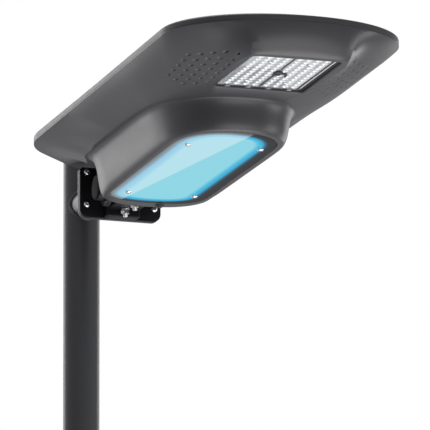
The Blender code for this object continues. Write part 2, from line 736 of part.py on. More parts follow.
def build_power():
    low = BOX_INNER_FLOOR + 0.0063
    high = -0.0420
    for side, name in ((-1, "battery_pack_left"), (1, "battery_pack_right")):
        near, far = sorted((side * 0.004, side * 0.074))
        head_box(name, (near, 0.448, low), (far, 0.750, high), CELL_WRAP, bevel=0.004)
    for s, name in ((0.520, "battery_strap_rear"), (0.680, "battery_strap_front")):
        strap = head_box(name, (-0.0775, s - 0.010, low), (0.0775, s + 0.010, high + 0.0018), ALU)
        tunnel = head_box(name + "_tunnel", (-0.0755, s - 0.02, low - 0.01),
                          (0.0755, s + 0.02, high + GAP))
        combine(strap, tunnel)
    head_box("charge_controller", (-0.045, 0.778, low), (0.045, 0.832, low + 0.024), BLACK,
             bevel=0.002)


def build_button():
    x, s = BUTTON_PLACE
    place = head_place(x, s, BOX_FLOOR - GAP)
    bezel = [(0.0075, 0.0010), (0.0075, 0.0), (0.0060, 0.0), (0.0060, -0.0085),
             (0.0050, -0.0085), (0.0050, 0.0015), (0.0068, 0.0015)]
    turned("button_bezel", bezel, place, DOWN, BLACK, HEAD, closed=True)
    cap = [(0.0, 0.0042), (0.0030, 0.0041), (0.0044, 0.0034), (0.0047, 0.0024), (0.0047, -0.0088),
           (0.0058, -0.0088), (0.0058, -0.0102), (0.0, -0.0102)]
    turned("power_button", cap, place, DOWN, BLACK, HEAD)
    low = BOX_FLOOR + 0.0102 + BUTTON_TRAVEL
    head_box("switch_body", (x - 0.0055, s - 0.0055, low), (x + 0.0055, s + 0.0055, low + 0.008), BLACK,
             bevel=0.001)


build_pole()
build_arm()
build_bracket()
build_u_bolt()
build_shell()
build_deck()
build_tilt_bracket()
build_led_module()
build_window()
build_power()
build_button()
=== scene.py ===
"""Finished look of the solar street lamp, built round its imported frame.

Metres, +Z up.  The street lies towards -Y: a distance s from the pole's axis is y = -s.  The
head's own sizes are (x, s, w), where w is the height above the lower edge of its rim.
"""
import math

import bmesh
import bpy
from mathutils import Matrix, Vector
from mathutils.bvhtree import BVHTree


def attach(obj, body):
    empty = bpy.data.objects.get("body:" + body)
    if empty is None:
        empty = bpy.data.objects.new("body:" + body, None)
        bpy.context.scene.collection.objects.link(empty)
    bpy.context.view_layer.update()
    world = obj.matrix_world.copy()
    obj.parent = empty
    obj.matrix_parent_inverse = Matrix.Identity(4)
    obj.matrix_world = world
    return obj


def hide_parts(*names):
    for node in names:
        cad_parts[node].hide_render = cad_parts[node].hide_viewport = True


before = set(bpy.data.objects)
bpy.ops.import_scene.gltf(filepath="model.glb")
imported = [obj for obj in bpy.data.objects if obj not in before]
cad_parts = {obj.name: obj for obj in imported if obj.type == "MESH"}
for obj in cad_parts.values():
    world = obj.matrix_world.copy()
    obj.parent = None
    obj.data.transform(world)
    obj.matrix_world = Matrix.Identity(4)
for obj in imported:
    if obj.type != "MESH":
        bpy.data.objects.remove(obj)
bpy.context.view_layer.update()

# ---- mast ----
ARM_REF_Z = 0.520  # reference height of the arm joint above the pole's lower end
POLE_R = 0.03015
POLE_WALL = 0.0032
POLE_TOP = ARM_REF_Z + 0.085
ARM_R = 0.02415
ARM_WALL = 0.003
ARM_Z = ARM_REF_Z - 0.004
WELD_R = 0.0026  # radius of the weld beads round the arm's ends
FLANGE_S = 0.1990  # street-side distance of the flange's back face
FLANGE_T = 0.0060
CAST_T = 0.0075  # thickness of the bracket casting's plate
PLATE_HALF = 0.070
PLATE_LOW = ARM_REF_Z - 0.070
PLATE_HIGH = ARM_REF_Z + 0.0145
PLATE_CORNER = 0.014
BOLT_X = 0.0585
BOLT_Z = (ARM_REF_Z - 0.048, ARM_REF_Z + 0.007)
NOTCH = ((0.0, -0.0515, 0.006), (0.0228, -0.029, 0.006), (0.0367, -0.005, 0.020),
         (0.0460, 0.05, 0.0))  # (x, height over ARM_REF_Z, corner radius)
BOLT_R = 0.0030
BOLT_HOLE_R = 0.0033
NUT_WIDTH = 0.0100  # across its flats
NUT_HEIGHT = 0.0048
BULGE_HALF = 0.029
BULGE_S = 0.231
GAP = 0.0003  # running gap between pieces that touch

# ---- tilt joint ----
PIVOT_S = 0.265
PIVOT_Z = ARM_REF_Z - 0.031
PIVOT_R = 0.0212
PIVOT_WALL = 0.0032
PIVOT_HALF = 0.058
EAR_X = (0.036, 0.044)
EAR_R = 0.030
UBOLT_R = 0.004
UBOLT_HOLE_R = UBOLT_R + 0.0004
WASHER = (0.0078, 0.0015)  # outer radius and thickness
UBOLT_NUT = (0.0130, 0.0065)  # width across flats and height
UBOLT_DROP = 0.0715  # how far its feet hang below ARM_REF_Z
THREAD_LENGTH = 0.026
THREAD_PITCH = 0.00125
SADDLE_LOW = ARM_REF_Z - 0.0575
SADDLE_HIGH = ARM_REF_Z - 0.040
SADDLE_S = 0.3000
SADDLE_HALF = 0.0268
TILT_BASE_LOW = -0.0063  # underside of the plate that carries the ears

# ---- head outline and shell ----
RISE = math.atan(0.015)  # the head's lean: the street end is the higher one
RIM_MID_S = 0.707
RIM_MID_Z = ARM_REF_Z + 0.0317
RIM_HALF = 0.187  # half-width of the rim at RIM_MID_S
RIM_WIDEN = 0.031  # growth of that half-width towards the street
NOSE_S = 1.050  # the elliptical street end starts here
NOSE_LEN = 0.1495
NOSE_POWER = 2.09
TAIL_CORNERS = ((0.062, 0.163, 0.050), (0.1830, 0.2830, 0.140))
HULL_CENTRE_S = 0.650
HULL_DEPTH = 0.050  # at the LED module
HULL_SHALLOW = 0.012  # how much less deep the hull is beside the battery box
SKIN = 0.003
SHELL_TOP = 0.0020
DECK_TOP = 0.0125
BOX_FLOOR = -0.1016
BOX_INNER_FLOOR = BOX_FLOOR + 0.0085
BAY_HALF = 0.080
BAY_S = 0.3270

# ---- hull curves ----
SIDE_CURVE = 0.35  # share of the full curve at the hull's sides
NOSE_CURVE = 0.35  # what the street end adds to it
NOSE_TURN = (0.90, 0.09)  # cosine where that starts, and the span over which it grows
REAR_TURN = (0.45, 0.45)
REAR_POWER = 1.5  # shape of the long ramp at the pole end
DEEPEN_S = (0.62, 0.30)  # where the hull starts to deepen, and over what length
ROOT_SWAY = 0.08  # sway of the box wall between its root and its base

# ---- LED module ----
LED_S = 1.045
LED_HALF = 0.0755  # half-width of the recess across the lamp
LED_LONGER = 0.030  # how much more its half-length is
LED_DEPTH = 0.0085
LED_CORNER = 0.008
LED_SCREW = (0.0331, 0.0628)

# ---- window ----
COVER_T = 0.004
COVER_SCREWS = ((-0.057, 0.432), (0.057, 0.432), (-0.062, 0.765), (0.062, 0.765))
BUTTON_PLACE = (0.022, 0.3545)

# ---- finer detail ----
FINE = 100  # points along half of the rim
GROOVE = 0.0009  # width of the gap round the window
LED_LIP = 0.0032  # roll of the LED recess's lip
DECK_ROLL = 0.0045  # roll of the panel frame's top edge
DENT_FIRST = (-0.152, 1.047)
DENT_STEP = 0.0142
DENT_SLANT = 0.0210
DENT_PITCH = 0.0265
DENT_REAR_END = 0.925  # no dents nearer the pole than this
DENT_COLUMNS = 5
DENT_ROWS = 7
DENT_SIZE = (0.0066, 0.0048, 0.0016)
DENT_TILT = 0.22
DENT_LIFT = 0.0004
DENT_LIFT_RIGHT = 0.0011
LENS_FIRST = 0.0100
LENS_STEP = 0.0154
LENS_COLUMNS = 4  # on each side of the middle bar
LENS_ROWS = 12
LENS_PITCH = 0.0157
LENS_LOBE = 0.0020
LENS_SIZE = (0.0058, 0.0036, 0.0014)
# The lenses' faint glow and their bright cores, set to one side, are painted highlights made with
# emission.
CORE_SIZE = (0.0026, 0.0026, 0.0022)
GLINT_CORE_SHIFT = -0.0016
CORE_PAINTED_GLINT = 0.40
LENS_PAINTED_GLOW = 0.03
BOOT_BEND = 0.011  # radius of the plug's curved boot
LENS_PLATE_T = 0.0016
LENS_CLEARANCE = 0.0060  # no lens nearer a screw than this
BOARD_T = 0.0016
BOARD_CORNER = 0.004
LENS_EDGE = 0.0004  # bevel round the lens plate's outer face
BOARD_HALF = 0.0712  # half-widths, both LED_LONGER more along the lamp
PLATE_HALF_X = 0.0706
LED_ROOF = -HULL_DEPTH + LED_DEPTH
BOARD_LOW = LED_ROOF - GAP - BOARD_T
LENS_BASE = BOARD_LOW - GAP - LENS_PLATE_T + LENS_EDGE
LED_FACE = LENS_BASE - LENS_EDGE
CELL_PITCH = (0.0755, 0.0805)
CELL_COLUMNS = 4
CELL_ROWS = 9
CELL_GAP = 0.0022
CELL_NICK = 0.007
PANEL_S = (0.342, 1.100)  # pole end and street end of the solar glass
RIBBON_SHIFTS = (-0.30, 0.0, 0.30)
WINDOW_RINGS = 34
GLOW_REACH = 0.034  # distance from the window's edge to its plain middle
GLOW_LEAN = 0.085  # the glow sits nearer the window's left edge
GLOW_MIDDLE = (0.25, 0.66, 0.77)
GLOW_STRENGTH = 0.95
GLOW_WOBBLE = 0.0016  # waver of the glow's edge
GLOW_STOPS = ((0.00, (0.006, 0.007, 0.009)), (0.27, (0.008, 0.012, 0.017)),
              (0.42, (0.010, 0.12, 0.19)), (0.54, (0.008, 0.38, 0.66)), (0.72, (0.03, 0.46, 0.71)),
              (1.0, GLOW_MIDDLE))
# Painted reflection on the window: beyond a slanting line its glow is lighter and paler (the line's
# normal and place, share, blur, colour).
PAINTED_REFLECTION_NORMAL = (-0.9887, -0.1500, 0.0)
PAINTED_REFLECTION_PLACE = 0.0662
PAINTED_REFLECTION_SHARE = 0.40
PAINTED_REFLECTION_BLUR = 0.0015
PAINTED_REFLECTION_COLOUR = (0.75, 0.90, 0.95, 1.0)
# Colour of the lenses' painted highlight glow.
PAINTED_LENS_LIGHT = (0.95, 0.98, 1.0, 1.0)

# ---- studio ----
FLOOR_Z = -14.5  # low enough to stay under the far camera's own place
FLOOR_R = 12.0
DOME_AXIS = (-0.54, 0.82, 0.19)
DOME = ((0.0, 0.66), (0.45, 0.38), (0.75, 0.46), (1.0, 0.72))  # (share along the axis, light)
DOME_BLUE = 1.03
LIGHTS_AIM = (0.0, -0.60, 0.50)
SOFTBOXES = (("left_back", (-1.1, 2.8, 0.9), (1.3, 2.2), 20),
             ("front_low", (0.3, -3.0, -2.0), (3.0, 2.4), 48),
             ("below", (0.7, -0.2, -2.9), (3.0, 2.4), 80),
             ("right_low", (2.8, -1.4, -0.6), (1.2, 1.6), 22),
             ("right_back", (2.6, 1.6, 0.4), (0.8, 2.0), 14),
             ("top", (-0.6, -0.4, 3.0), (2.4, 2.4), 60))
CAMERA_TURN = (-18, -13)  # azimuth and elevation in degrees
CAMERA_TARGET = (0.0, -0.718, ARM_REF_Z - 0.173)
CAMERA_LENS = 1600.0
LENS_PER_METRE = 51.5  # focal length in millimetres for each metre of distance


# ---- outlines ----
def arc(steps, sweep=math.pi / 2, start=0.0):
    """Angles in even steps over a sweep, both ends included."""
    return [start + sweep * k / steps for k in range(steps + 1)]


def rounded(corners, arc_steps=6):
    """Points of a closed polygon whose corners (x, y, radius) are replaced by arcs."""
    points = []
    count = len(corners)
    for i, (x, y, radius) in enumerate(corners):
        here = Vector((x, y))
        before = (Vector(corners[i - 1][:2]) - here).normalized()
        after = (Vector(corners[(i + 1) % count][:2]) - here).normalized()
        if radius == 0:
            points.append((x, y))
            continue
        half = before.angle(after) / 2
        centre = here + (before + after).normalized() * (radius / math.sin(half))
        start = here + before * (radius / math.tan(half)) - centre
        end = here + after * (radius / math.tan(half)) - centre
        sweep = start.angle_signed(end)
        for k in range(arc_steps + 1):
            points.append(tuple(Matrix.Rotation(-sweep * k / arc_steps, 2) @ start + centre))
    return points


def rim_half(s):
    return RIM_HALF + RIM_WIDEN * (s - RIM_MID_S)


def head_outline(steps=40):
    """Right half of the rim's plan, from the rear centre to the street end's centre."""
    tail = [(0.0, TAIL_CORNERS[0][1], 0.0), *TAIL_CORNERS, (rim_half(NOSE_S), NOSE_S, 0.0),
            (0.0, NOSE_S, 0.0)]
    half = rounded(tail, 12)[:-2]
    width = rim_half(NOSE_S)
    for angle in arc(steps):
        half.append((width * math.cos(angle) ** (2 / NOSE_POWER),
                     NOSE_S + NOSE_LEN * math.sin(angle) ** (2 / NOSE_POWER)))
    return half


def slot_outline(half_width, widen, rear, front, rear_len, front_len, power, steps=24):
    """Right half of a long plan shape with straight sides and superelliptic ends."""
    middle = (rear + front) / 2
    first = rear + rear_len
    last = front - front_len
    turns = [(math.cos(angle) ** (2 / power), math.sin(angle) ** (2 / power))
             for angle in arc(steps)]
    width = half_width + widen * (first - middle)
    half = [(width * sine, first - rear_len * cosine) for cosine, sine in turns]
    width = half_width + widen * (last - middle)
    return half + [(width * cosine, last + front_len * sine) for cosine, sine in turns]


def even_points(half, count):
    """Spread count + 1 points evenly along an open chain."""
    lengths = [0.0]
    for (x0, s0), (x1, s1) in zip(half, half[1:]):
        lengths.append(lengths[-1] + math.hypot(x1 - x0, s1 - s0))
    points = []
    piece = 0
    for k in range(count + 1):
        target = lengths[-1] * k / count
        while piece < len(half) - 2 and lengths[piece + 1] < target:
            piece += 1
        span = lengths[piece + 1] - lengths[piece]
        part = 0.0 if span == 0 else (target - lengths[piece]) / span
        (x0, s0), (x1, s1) = half[piece], half[piece + 1]
        points.append((x0 + (x1 - x0) * part, s0 + (s1 - s0) * part))
    return points


# Directions from the hull's centre, turned from the rear one, to points spread along the rim.
BEARINGS = [math.atan2(x, HULL_CENTRE_S - s) for x, s in even_points(head_outline(), FINE)]


def ray_points(half):
    """Where rays from the hull's centre along its bearings meet a half outline."""
    found = []
    reach = [math.atan2(x, HULL_CENTRE_S - s) for x, s in half]
    for angle in BEARINGS:
        piece = 0
        while piece < len(half) - 2 and reach[piece + 1] < angle:
            piece += 1
        (x0, s0), (x1, s1) = half[piece], half[piece + 1]
        ray = Vector((math.sin(angle), -math.cos(angle)))
        start = Vector((x0, s0 - HULL_CENTRE_S))
        along = Vector((x1 - x0, s1 - s0))
        turn = ray.x * along.y - ray.y * along.x
        distance = (start.x * along.y - start.y * along.x) / turn
        found.append((ray.x * distance, HULL_CENTRE_S + ray.y * distance))
    return found


# ---- head shell ----
FLAT_REGION = rounded([(0.0, 0.330, 0.0), (0.100, 0.330, 0.040), (0.1285, 0.470, 0.150),
                       (0.1285, 0.790, 0.250), (0.090, 0.990, 0.250), (0.088, 1.166, 0.025),
                       (0.0, 1.166, 0.0)], 8)
BOX_ROOT = slot_outline(0.1225, 0.015, 0.3335, 0.892, 0.080, 0.170, 2.25)
BOX_BASE = slot_outline(0.0905, 0.014, 0.3385, 0.8640, 0.075, 0.110, 2.25)
COVER = slot_outline(0.0835, 0.010, 0.3640, 0.8560, 0.062, 0.100, 2.25)


def blend(first, second, share):
    return [(a[0] + (b[0] - a[0]) * share, a[1] + (b[1] - a[1]) * share)
            for a, b in zip(first, second)]


def shrink(points, inset):
    """Move points towards the hull's centre by the distance inset."""
    moved = []
    for x, s in points:
        share = 1 - inset / math.hypot(x, s - HULL_CENTRE_S)
        moved.append((x * share, HULL_CENTRE_S + (s - HULL_CENTRE_S) * share))
    return moved


def ease(value):
    value = min(max(value, 0.0), 1.0)
    return value * value * (3 - 2 * value)


def keep_outside(points, inner, margin):
    """Push points outwards along their rays until they clear the inner ones by the margin."""
    kept = []
    for outer, pushed in zip(points, shrink(inner, -margin)):
        reach = [math.hypot(x, s - HULL_CENTRE_S) for x, s in (outer, pushed)]
        kept.append(outer if reach[0] > reach[1] else pushed)
    return kept


def hull_depth(s):
    return HULL_DEPTH - HULL_SHALLOW * (1 - ease((s - DEEPEN_S[0]) / DEEPEN_S[1]))


def shell_rings(hull_steps, wall_steps, inset, top, floor):
    """Half rings (x, s, w) from the top of the rim to the floor of the battery box.

    The hull falls in a full curve at the street end and a flatter one at the sides, and runs
    up to the rim in a long ramp at the pole end.  inset moves the whole surface inwards, which
    gives the cavity.
    """
    rim = shrink(ray_points(head_outline()), inset)
    flat = keep_outside(ray_points(FLAT_REGION), ray_points(BOX_ROOT), 0.003)
    root = shrink(ray_points(BOX_ROOT), inset)
    base = shrink(ray_points(BOX_BASE), inset)
    rings = [[(x, s, top) for x, s in rim]]
    for k in range(hull_steps + 1):
        share = k / hull_steps
        phase = math.pi / 2 * share
        ring = []
        for edge, end, angle in zip(rim, flat, BEARINGS):
            curve = SIDE_CURVE + NOSE_CURVE * ease((-math.cos(angle) - NOSE_TURN[0]) / NOSE_TURN[1])
            across = curve * (1 - math.cos(phase)) + (1 - curve) * share
            full = curve * math.sin(phase) + (1 - curve) * share
            rear = ease((math.cos(angle) - REAR_TURN[0]) / REAR_TURN[1])
            fall = full + (across ** REAR_POWER - full) * rear
            x, s = blend([edge], [end], across)[0]
            ring.append((x, s, -hull_depth(s) * fall + inset * across))
        rings.append(ring)
    for k in range(wall_steps + 1):
        share = k / wall_steps
        across = share + ROOT_SWAY * math.sin(2 * math.pi * share)
        ring = []
        for (x, s), (_, root_s) in zip(blend(root, base, across), root):
            start = inset - hull_depth(root_s)
            ring.append((x, s, start + (floor - start) * ease(share)))
        rings.append(ring)
    return rings


# The lift from the rim's lower edge to the tilt axis, in the head's own axes.
W_LIFT = (RIM_MID_Z - PIVOT_Z - (RIM_MID_S - PIVOT_S) * math.sin(RISE)) / math.cos(RISE)


def in_head(rings):
    """Mirror half rings (x, s, w) and express them in the head's axes."""
    return [[(x, PIVOT_S - s, w + W_LIFT) for x, s, w in
             ring + [(-x, s, w) for x, s, w in reversed(ring[1:-1])]] for ring in rings]


def frame_half(half_x, half_s, corner, middle_s, steps=4):
    """Right half of a rounded rectangle in plan."""
    return rounded([(0.0, middle_s - half_s, 0.0), (half_x, middle_s - half_s, corner),
                    (half_x, middle_s + half_s, corner), (0.0, middle_s + half_s, 0.0)], steps)


def led_frame(half_x, corner, steps=8):
    """Right half of a rounded rectangle round the LED module's middle."""
    return frame_half(half_x, half_x + LED_LONGER, corner, LED_S, steps)


TILT_BOLTS = ((-0.022, 0.241), (0.022, 0.241), (-0.022, 0.304), (0.022, 0.304))
LED_SCREWS = tuple((x, LED_S + s) for x in (-LED_SCREW[0], LED_SCREW[0])
                   for s in (-LED_SCREW[1], LED_SCREW[1]))
SOLAR_HALF = rounded([(0.0, PANEL_S[0], 0.0), (0.155, PANEL_S[0], 0.014),
                      (0.168, PANEL_S[1], 0.014), (0.0, PANEL_S[1], 0.0)], 4)

HEAD_PLACE = Matrix.Translation((0.0, -PIVOT_S, PIVOT_Z)) @ Matrix.Rotation(-RISE, 4, "X")
UP = Matrix.Identity(4)
DOWN = Matrix.Rotation(math.pi, 4, "X")
STREET = Matrix.Rotation(math.pi / 2, 4, "X")
ACROSS = Matrix.Rotation(math.pi / 2, 4, "Y")
LEFTWARD = Matrix.Rotation(-math.pi / 2, 4, "Y")


# ---- building ----
def new_object(name, data):
    item = bpy.data.objects.new(name, data)
    bpy.context.scene.collection.objects.link(item)
    return item


def mesh_object(name, build):
    """An object whose mesh is made by build(bm), with its faces pointing out."""
    bm = bmesh.new()
    build(bm)
    bmesh.ops.recalc_face_normals(bm, faces=bm.faces)
    mesh = bpy.data.meshes.new(name)
    bm.to_mesh(mesh)
    bm.free()
    return new_object(name, mesh)


def shift(x, y, z):
    return Matrix.Translation((x, y, z))


def at_head(x, s, w):
    """A place on the head, in the head's own axes."""
    return Matrix.Translation((x, PIVOT_S - s, w + W_LIFT))


def spots(places, dx=0.0, ds=0.0, w=0.0):
    """Offsets of (x, s) places on the head, moved by (dx, ds) and set at height w."""
    return [at_head(x + dx, s + ds, w).translation for x, s in places]


def skin(bm, rings, closed=False):
    """Skin a stack of rings of one size, or of single points; closed joins last to first."""
    stack = [[bm.verts.new(point) for point in ring] for ring in rings]
    count = max(map(len, stack))
    for a, b in zip(stack, stack[1:] + stack[:1]):
        if b is stack[0] and not closed:
            break
        for i in range(count):
            j = (i + 1) % count
            corners = [a[i % len(a)], a[j % len(a)], b[j % len(b)], b[i % len(b)]]
            bm.faces.new(list(dict.fromkeys(corners)))
    for ring in (stack[0], stack[-1]):
        if not closed and len(ring) > 1:
            bm.faces.new(ring)


def loft(name, rings, closed=False):
    return mesh_object(name, lambda bm: skin(bm, rings, closed))


def head_loft(name, levels, closed=False):
    """Loft whole outlines on the head, given as (half outline, w) from the top down."""
    return loft(name, in_head([[(x, s, w) for x, s in half] for half, w in levels]), closed)


def turned(name, profile, place, steps=48):
    """Turn a profile of (radius, height) points about local Z; radius 0 ends become one point."""
    turns = arc(steps, 2 * math.pi)[:-1]
    rings = [[(r * math.cos(a), r * math.sin(a), z) for a in turns if r or a == 0]
             for r, z in profile]
    item = loft(name, rings, closed=profile[0][0] != 0)
    item.matrix_world = place
    return item


def raised(outline, low, high):
    return [[(x, y, z) for x, y in outline] for z in (low, high)]


def prism(name, outline, low, high, place=UP):
    """A flat outline of (x, y) points raised from low to high along Z."""
    item = loft(name, raised(outline, low, high))
    item.matrix_world = place
    return item


def block(name, low, high, bevel=0.0, segments=3):
    """A box between two corners, with its edges rounded by the bevel."""
    low, high = Vector(low), Vector(high)

    def build(bm):
        place = Matrix.Translation((low + high) / 2) @ Matrix.Diagonal((*(high - low), 1.0))
        bmesh.ops.create_cube(bm, size=1.0, matrix=place)
        if bevel:
            bmesh.ops.bevel(bm, geom=bm.edges[:], offset=bevel, segments=segments, profile=0.5,
                            affect="EDGES")

    return mesh_object(name, build)


def head_block(name, low, high, bevel=0.0, segments=3):
    """A block between two (x, s, w) corners on the head."""
    return block(name, (low[0], PIVOT_S - high[1], low[2] + W_LIFT),
                 (high[0], PIVOT_S - low[1], high[2] + W_LIFT), bevel, segments)


def repeated(name, *groups):
    """One mesh of copies: each group is a unit, given by its rings, and its places."""
    def build(bm):
        for rings, places in groups:
            for offset in places:
                skin(bm, [[Vector(point) + offset for point in ring] for ring in rings])

    return mesh_object(name, build)


def brick(x, y, z):
    """A box's rings round the origin, from its half sizes."""
    return raised([(x, y), (-x, y), (-x, -y), (x, -y)], -z, z)


def dome(x, y, z, around=20, rings=6):
    """Rings of an ellipsoid's lower half with a flat top, from its half sizes."""
    turns = arc(around, 2 * math.pi)[:-1]
    return [[(0.0, 0.0, -z)]] + [[(x * math.sin(a) * math.cos(turn), y * math.sin(a) * math.sin(turn),
                                   -z * math.cos(a)) for turn in turns] for a in arc(rings)[1:]]


def final_mesh(item):
    """A new mesh of what an item's modifiers or bevelled curve make of it."""
    bpy.context.view_layer.update()
    graph = bpy.context.evaluated_depsgraph_get()
    return bpy.data.meshes.new_from_object(item.evaluated_get(graph))


def baked(item):
    """Replace an item's mesh by what its modifiers make of it."""
    mesh = final_mesh(item)
    item.modifiers.clear()
    item.data = mesh
    return item


def cut(item, *tools, operation="DIFFERENCE"):
    """Cut or join the tools with an item, then delete the tools."""
    for tool in tools:
        joined = item.modifiers.new("cut", "BOOLEAN")
        joined.operation = operation
        joined.object = tool
        joined.solver = "EXACT"
    baked(item)
    for tool in tools:
        bpy.data.objects.remove(tool, do_unlink=True)
    return item


def softened(item, width, segments=3, angle=0.6):
    """Round an item's sharp edges."""
    edge = item.modifiers.new("edges", "BEVEL")
    edge.width = width
    edge.segments = segments
    edge.limit_method = "ANGLE"
    edge.angle_limit = angle
    return baked(item)


def pipe(name, points, radius, closed=False, sides=4):
    """A round bar along a chain of points."""
    curve = bpy.data.curves.new(name, "CURVE")
    curve.dimensions = "3D"
    curve.bevel_depth = radius
    curve.bevel_resolution = sides
    curve.use_fill_caps = not closed
    spline = curve.splines.new("POLY")
    spline.points.add(len(points) - 1)
    spline.use_cyclic_u = closed
    for knot, point in zip(spline.points, points):
        knot.co = (*point, 1.0)
    item = new_object(name, curve)
    mesh = final_mesh(item)
    bpy.data.objects.remove(item, do_unlink=True)
    return new_object(name, mesh)


def fit(item, body, look, *nodes, angle=0.6):
    """Shade a finished piece, paint it and hang it on its body, standing for CAD nodes.

    A look is a material and the name of the slot that it stands for; that name is not used.
    """
    material, slot = look
    item.data.shade_smooth()
    item.data.set_sharp_from_angle(angle=angle)
    item.data.materials.clear()
    item.data.materials.append(material)
    if body != "mast":
        item.matrix_world = HEAD_PLACE @ item.matrix_world
    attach(item, body)
    if nodes:
        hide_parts(*nodes)
    return item


# ---- materials ----
def set_inputs(tree, node, inputs):
    """Set or link a node's inputs, given by name or number."""
    for key, value in inputs.items():
        if isinstance(value, bpy.types.NodeSocket):
            tree.links.new(value, node.inputs[key])
        else:
            node.inputs[key].default_value = value


def add_node(tree, kind, inputs=None, **settings):
    node = tree.nodes.new("ShaderNode" + kind)
    for key, value in settings.items():
        setattr(node, key, value)
    set_inputs(tree, node, inputs or {})
    return node


def shade(material, inputs):
    """Set or link inputs of a material's shader."""
    set_inputs(material.node_tree, material.node_tree.nodes["Principled BSDF"], inputs)


def new_material(name, colour, roughness, inputs=None):
    material = bpy.data.materials.new(name)
    material.use_nodes = True
    shade(material, {"Base Color": (*colour, 1.0), "Roughness": roughness, **(inputs or {})})
    return material


def noise(material, scale, detail=4.0, stretch=(1.0, 1.0, 1.0)):
    """A noise value in the object's own coordinates."""
    tree = material.node_tree
    place = add_node(tree, "TexCoord").outputs["Object"]
    mapping = add_node(tree, "Mapping", {"Scale": stretch, "Vector": place})
    return add_node(tree, "TexNoise", {"Scale": scale, "Detail": detail,
                                       "Vector": mapping.outputs["Vector"]}).outputs["Fac"]


def ranged(tree, value, near=0.3, far=0.7, low=0.0, high=1.0):
    """Map a value from near to far onto low to high."""
    return add_node(tree, "MapRange", {"Value": value, "From Min": near, "From Max": far,
                                       "To Min": low, "To Max": high}).outputs["Result"]


def ramped(tree, value, stops):
    """A colour that runs through stops of (place, colour) with a value."""
    ramp = add_node(tree, "ValToRGB", {"Fac": value})
    elements = ramp.color_ramp.elements
    for place, _ in stops[1:-1]:
        elements.new(place)
    for element, (place, colour) in zip(elements, stops):
        element.position = place
        element.color = (*colour, 1.0)
    return ramp.outputs["Color"]


def mixed(tree, share, first, second):
    """A colour between two others."""
    return add_node(tree, "Mix", {"Factor": share, "A": first, "B": second},
                    data_type="RGBA").outputs["Result"]


def add_bump(material, value, depth):
    bump = add_node(material.node_tree, "Bump", {"Strength": 1.0, "Distance": depth, "Height": value})
    shade(material, {"Normal": bump.outputs["Normal"]})


def tinted(material, value, dark, light):
    """Colour that drifts between two tones with a value."""
    shade(material, {"Base Color": ramped(material.node_tree, value, ((0.3, dark), (0.7, light)))})


def painted(name, colour, roughness, slot=None, grain=320.0, depth=0.00001, coat=0.0, specular=0.5):
    """Powder coat: a fine orange-peel grain, slow drifts of tone and uneven gloss."""
    material = new_material(name, colour, roughness,
                            {"Coat Weight": coat, "Specular IOR Level": specular})
    tinted(material, noise(material, 9.0, 3.0), [c * 0.94 for c in colour],
           [c * 1.06 for c in colour])
    shade(material, {"Roughness": ranged(material.node_tree, noise(material, 60.0, 5.0),
                                         low=roughness * 0.97, high=roughness * 1.03)})
    add_bump(material, noise(material, grain, 2.0), depth)
    return material, slot or name


def metal(name, colour, roughness, stretch=(1.0, 1.0, 12.0)):
    """Bare metal with drawn streaks."""
    material = new_material(name, colour, roughness, {"Metallic": 1.0})
    streak = noise(material, 260.0, 4.0, stretch)
    shade(material, {"Roughness": ranged(material.node_tree, streak, low=roughness * 0.75,
                                         high=roughness * 1.3)})
    tinted(material, noise(material, 30.0), [c * 0.88 for c in colour], colour)
    add_bump(material, streak, 0.00001)
    return material


def optic(name, colour, roughness, coat, marks, **inputs):
    """Moulded clear plastic with faint flow marks; inputs are the shader's, with _ for a space."""
    given = {key.replace("_", " "): value for key, value in inputs.items()}
    material = new_material(name, colour, roughness, {"Coat Weight": coat, **given})
    add_bump(material, noise(material, marks, 2.0), 0.00003)
    return material, "clear_optic"


def glow_material():
    """The lit window: a dark printed border, a saturated edge and a pale middle; a painted reflection
    lightens its left part.
    """
    material = new_material("window_glow", (0.008, 0.008, 0.009), 0.30, {"Specular IOR Level": 0.03})
    tree = material.node_tree
    edge = add_node(tree, "Attribute", attribute_name="edge").outputs["Fac"]
    wobble = add_node(tree, "Math", {0: noise(material, 12.0, 2.0), 1: GLOW_WOBBLE, 2: edge},
                      operation="MULTIPLY_ADD")
    depth = ranged(tree, wobble.outputs["Value"], 0.0, GLOW_REACH)
    # Painted reflection: a share of pale colour is mixed into the glow on one side of a slanting line.
    place = add_node(tree, "TexCoord").outputs["Object"]
    slant = add_node(tree, "VectorMath", {0: place, 1: PAINTED_REFLECTION_NORMAL}, operation="DOT_PRODUCT")
    side = ranged(tree, slant.outputs["Value"], PAINTED_REFLECTION_PLACE - PAINTED_REFLECTION_BLUR, PAINTED_REFLECTION_PLACE + PAINTED_REFLECTION_BLUR,
                  high=PAINTED_REFLECTION_SHARE)
    inside = ranged(tree, depth, 0.0, 0.60, 0.25)
    share = add_node(tree, "Math", {0: side, 1: inside}, operation="MULTIPLY").outputs["Value"]
    shade(material, {"Emission Color": mixed(tree, share, ramped(tree, depth, GLOW_STOPS), PAINTED_REFLECTION_COLOUR),
                     "Emission Strength": GLOW_STRENGTH})
    return material


def cell_material():
    """Dark blue-black silicon with fine silver fingers across each cell."""
    material = new_material("solar_cells", (0.008, 0.013, 0.040), 0.18, {"Specular IOR Level": 0.22})
    tree = material.node_tree
    place = add_node(tree, "TexCoord").outputs["Object"]
    fingers = add_node(tree, "TexWave", {"Scale": 160.0, "Vector": place}, wave_type="BANDS",
                       bands_direction="Y")
    line = ranged(tree, fingers.outputs["Fac"], 0.93, 1.0, high=0.10)
    grain = ramped(tree, noise(material, 14.0, 2.0),
                   ((0.0, (0.005, 0.009, 0.030)), (1.0, (0.012, 0.020, 0.060))))
    shade(material, {"Base Color": mixed(tree, line, grain, (0.35, 0.37, 0.42, 1.0))})
    return material


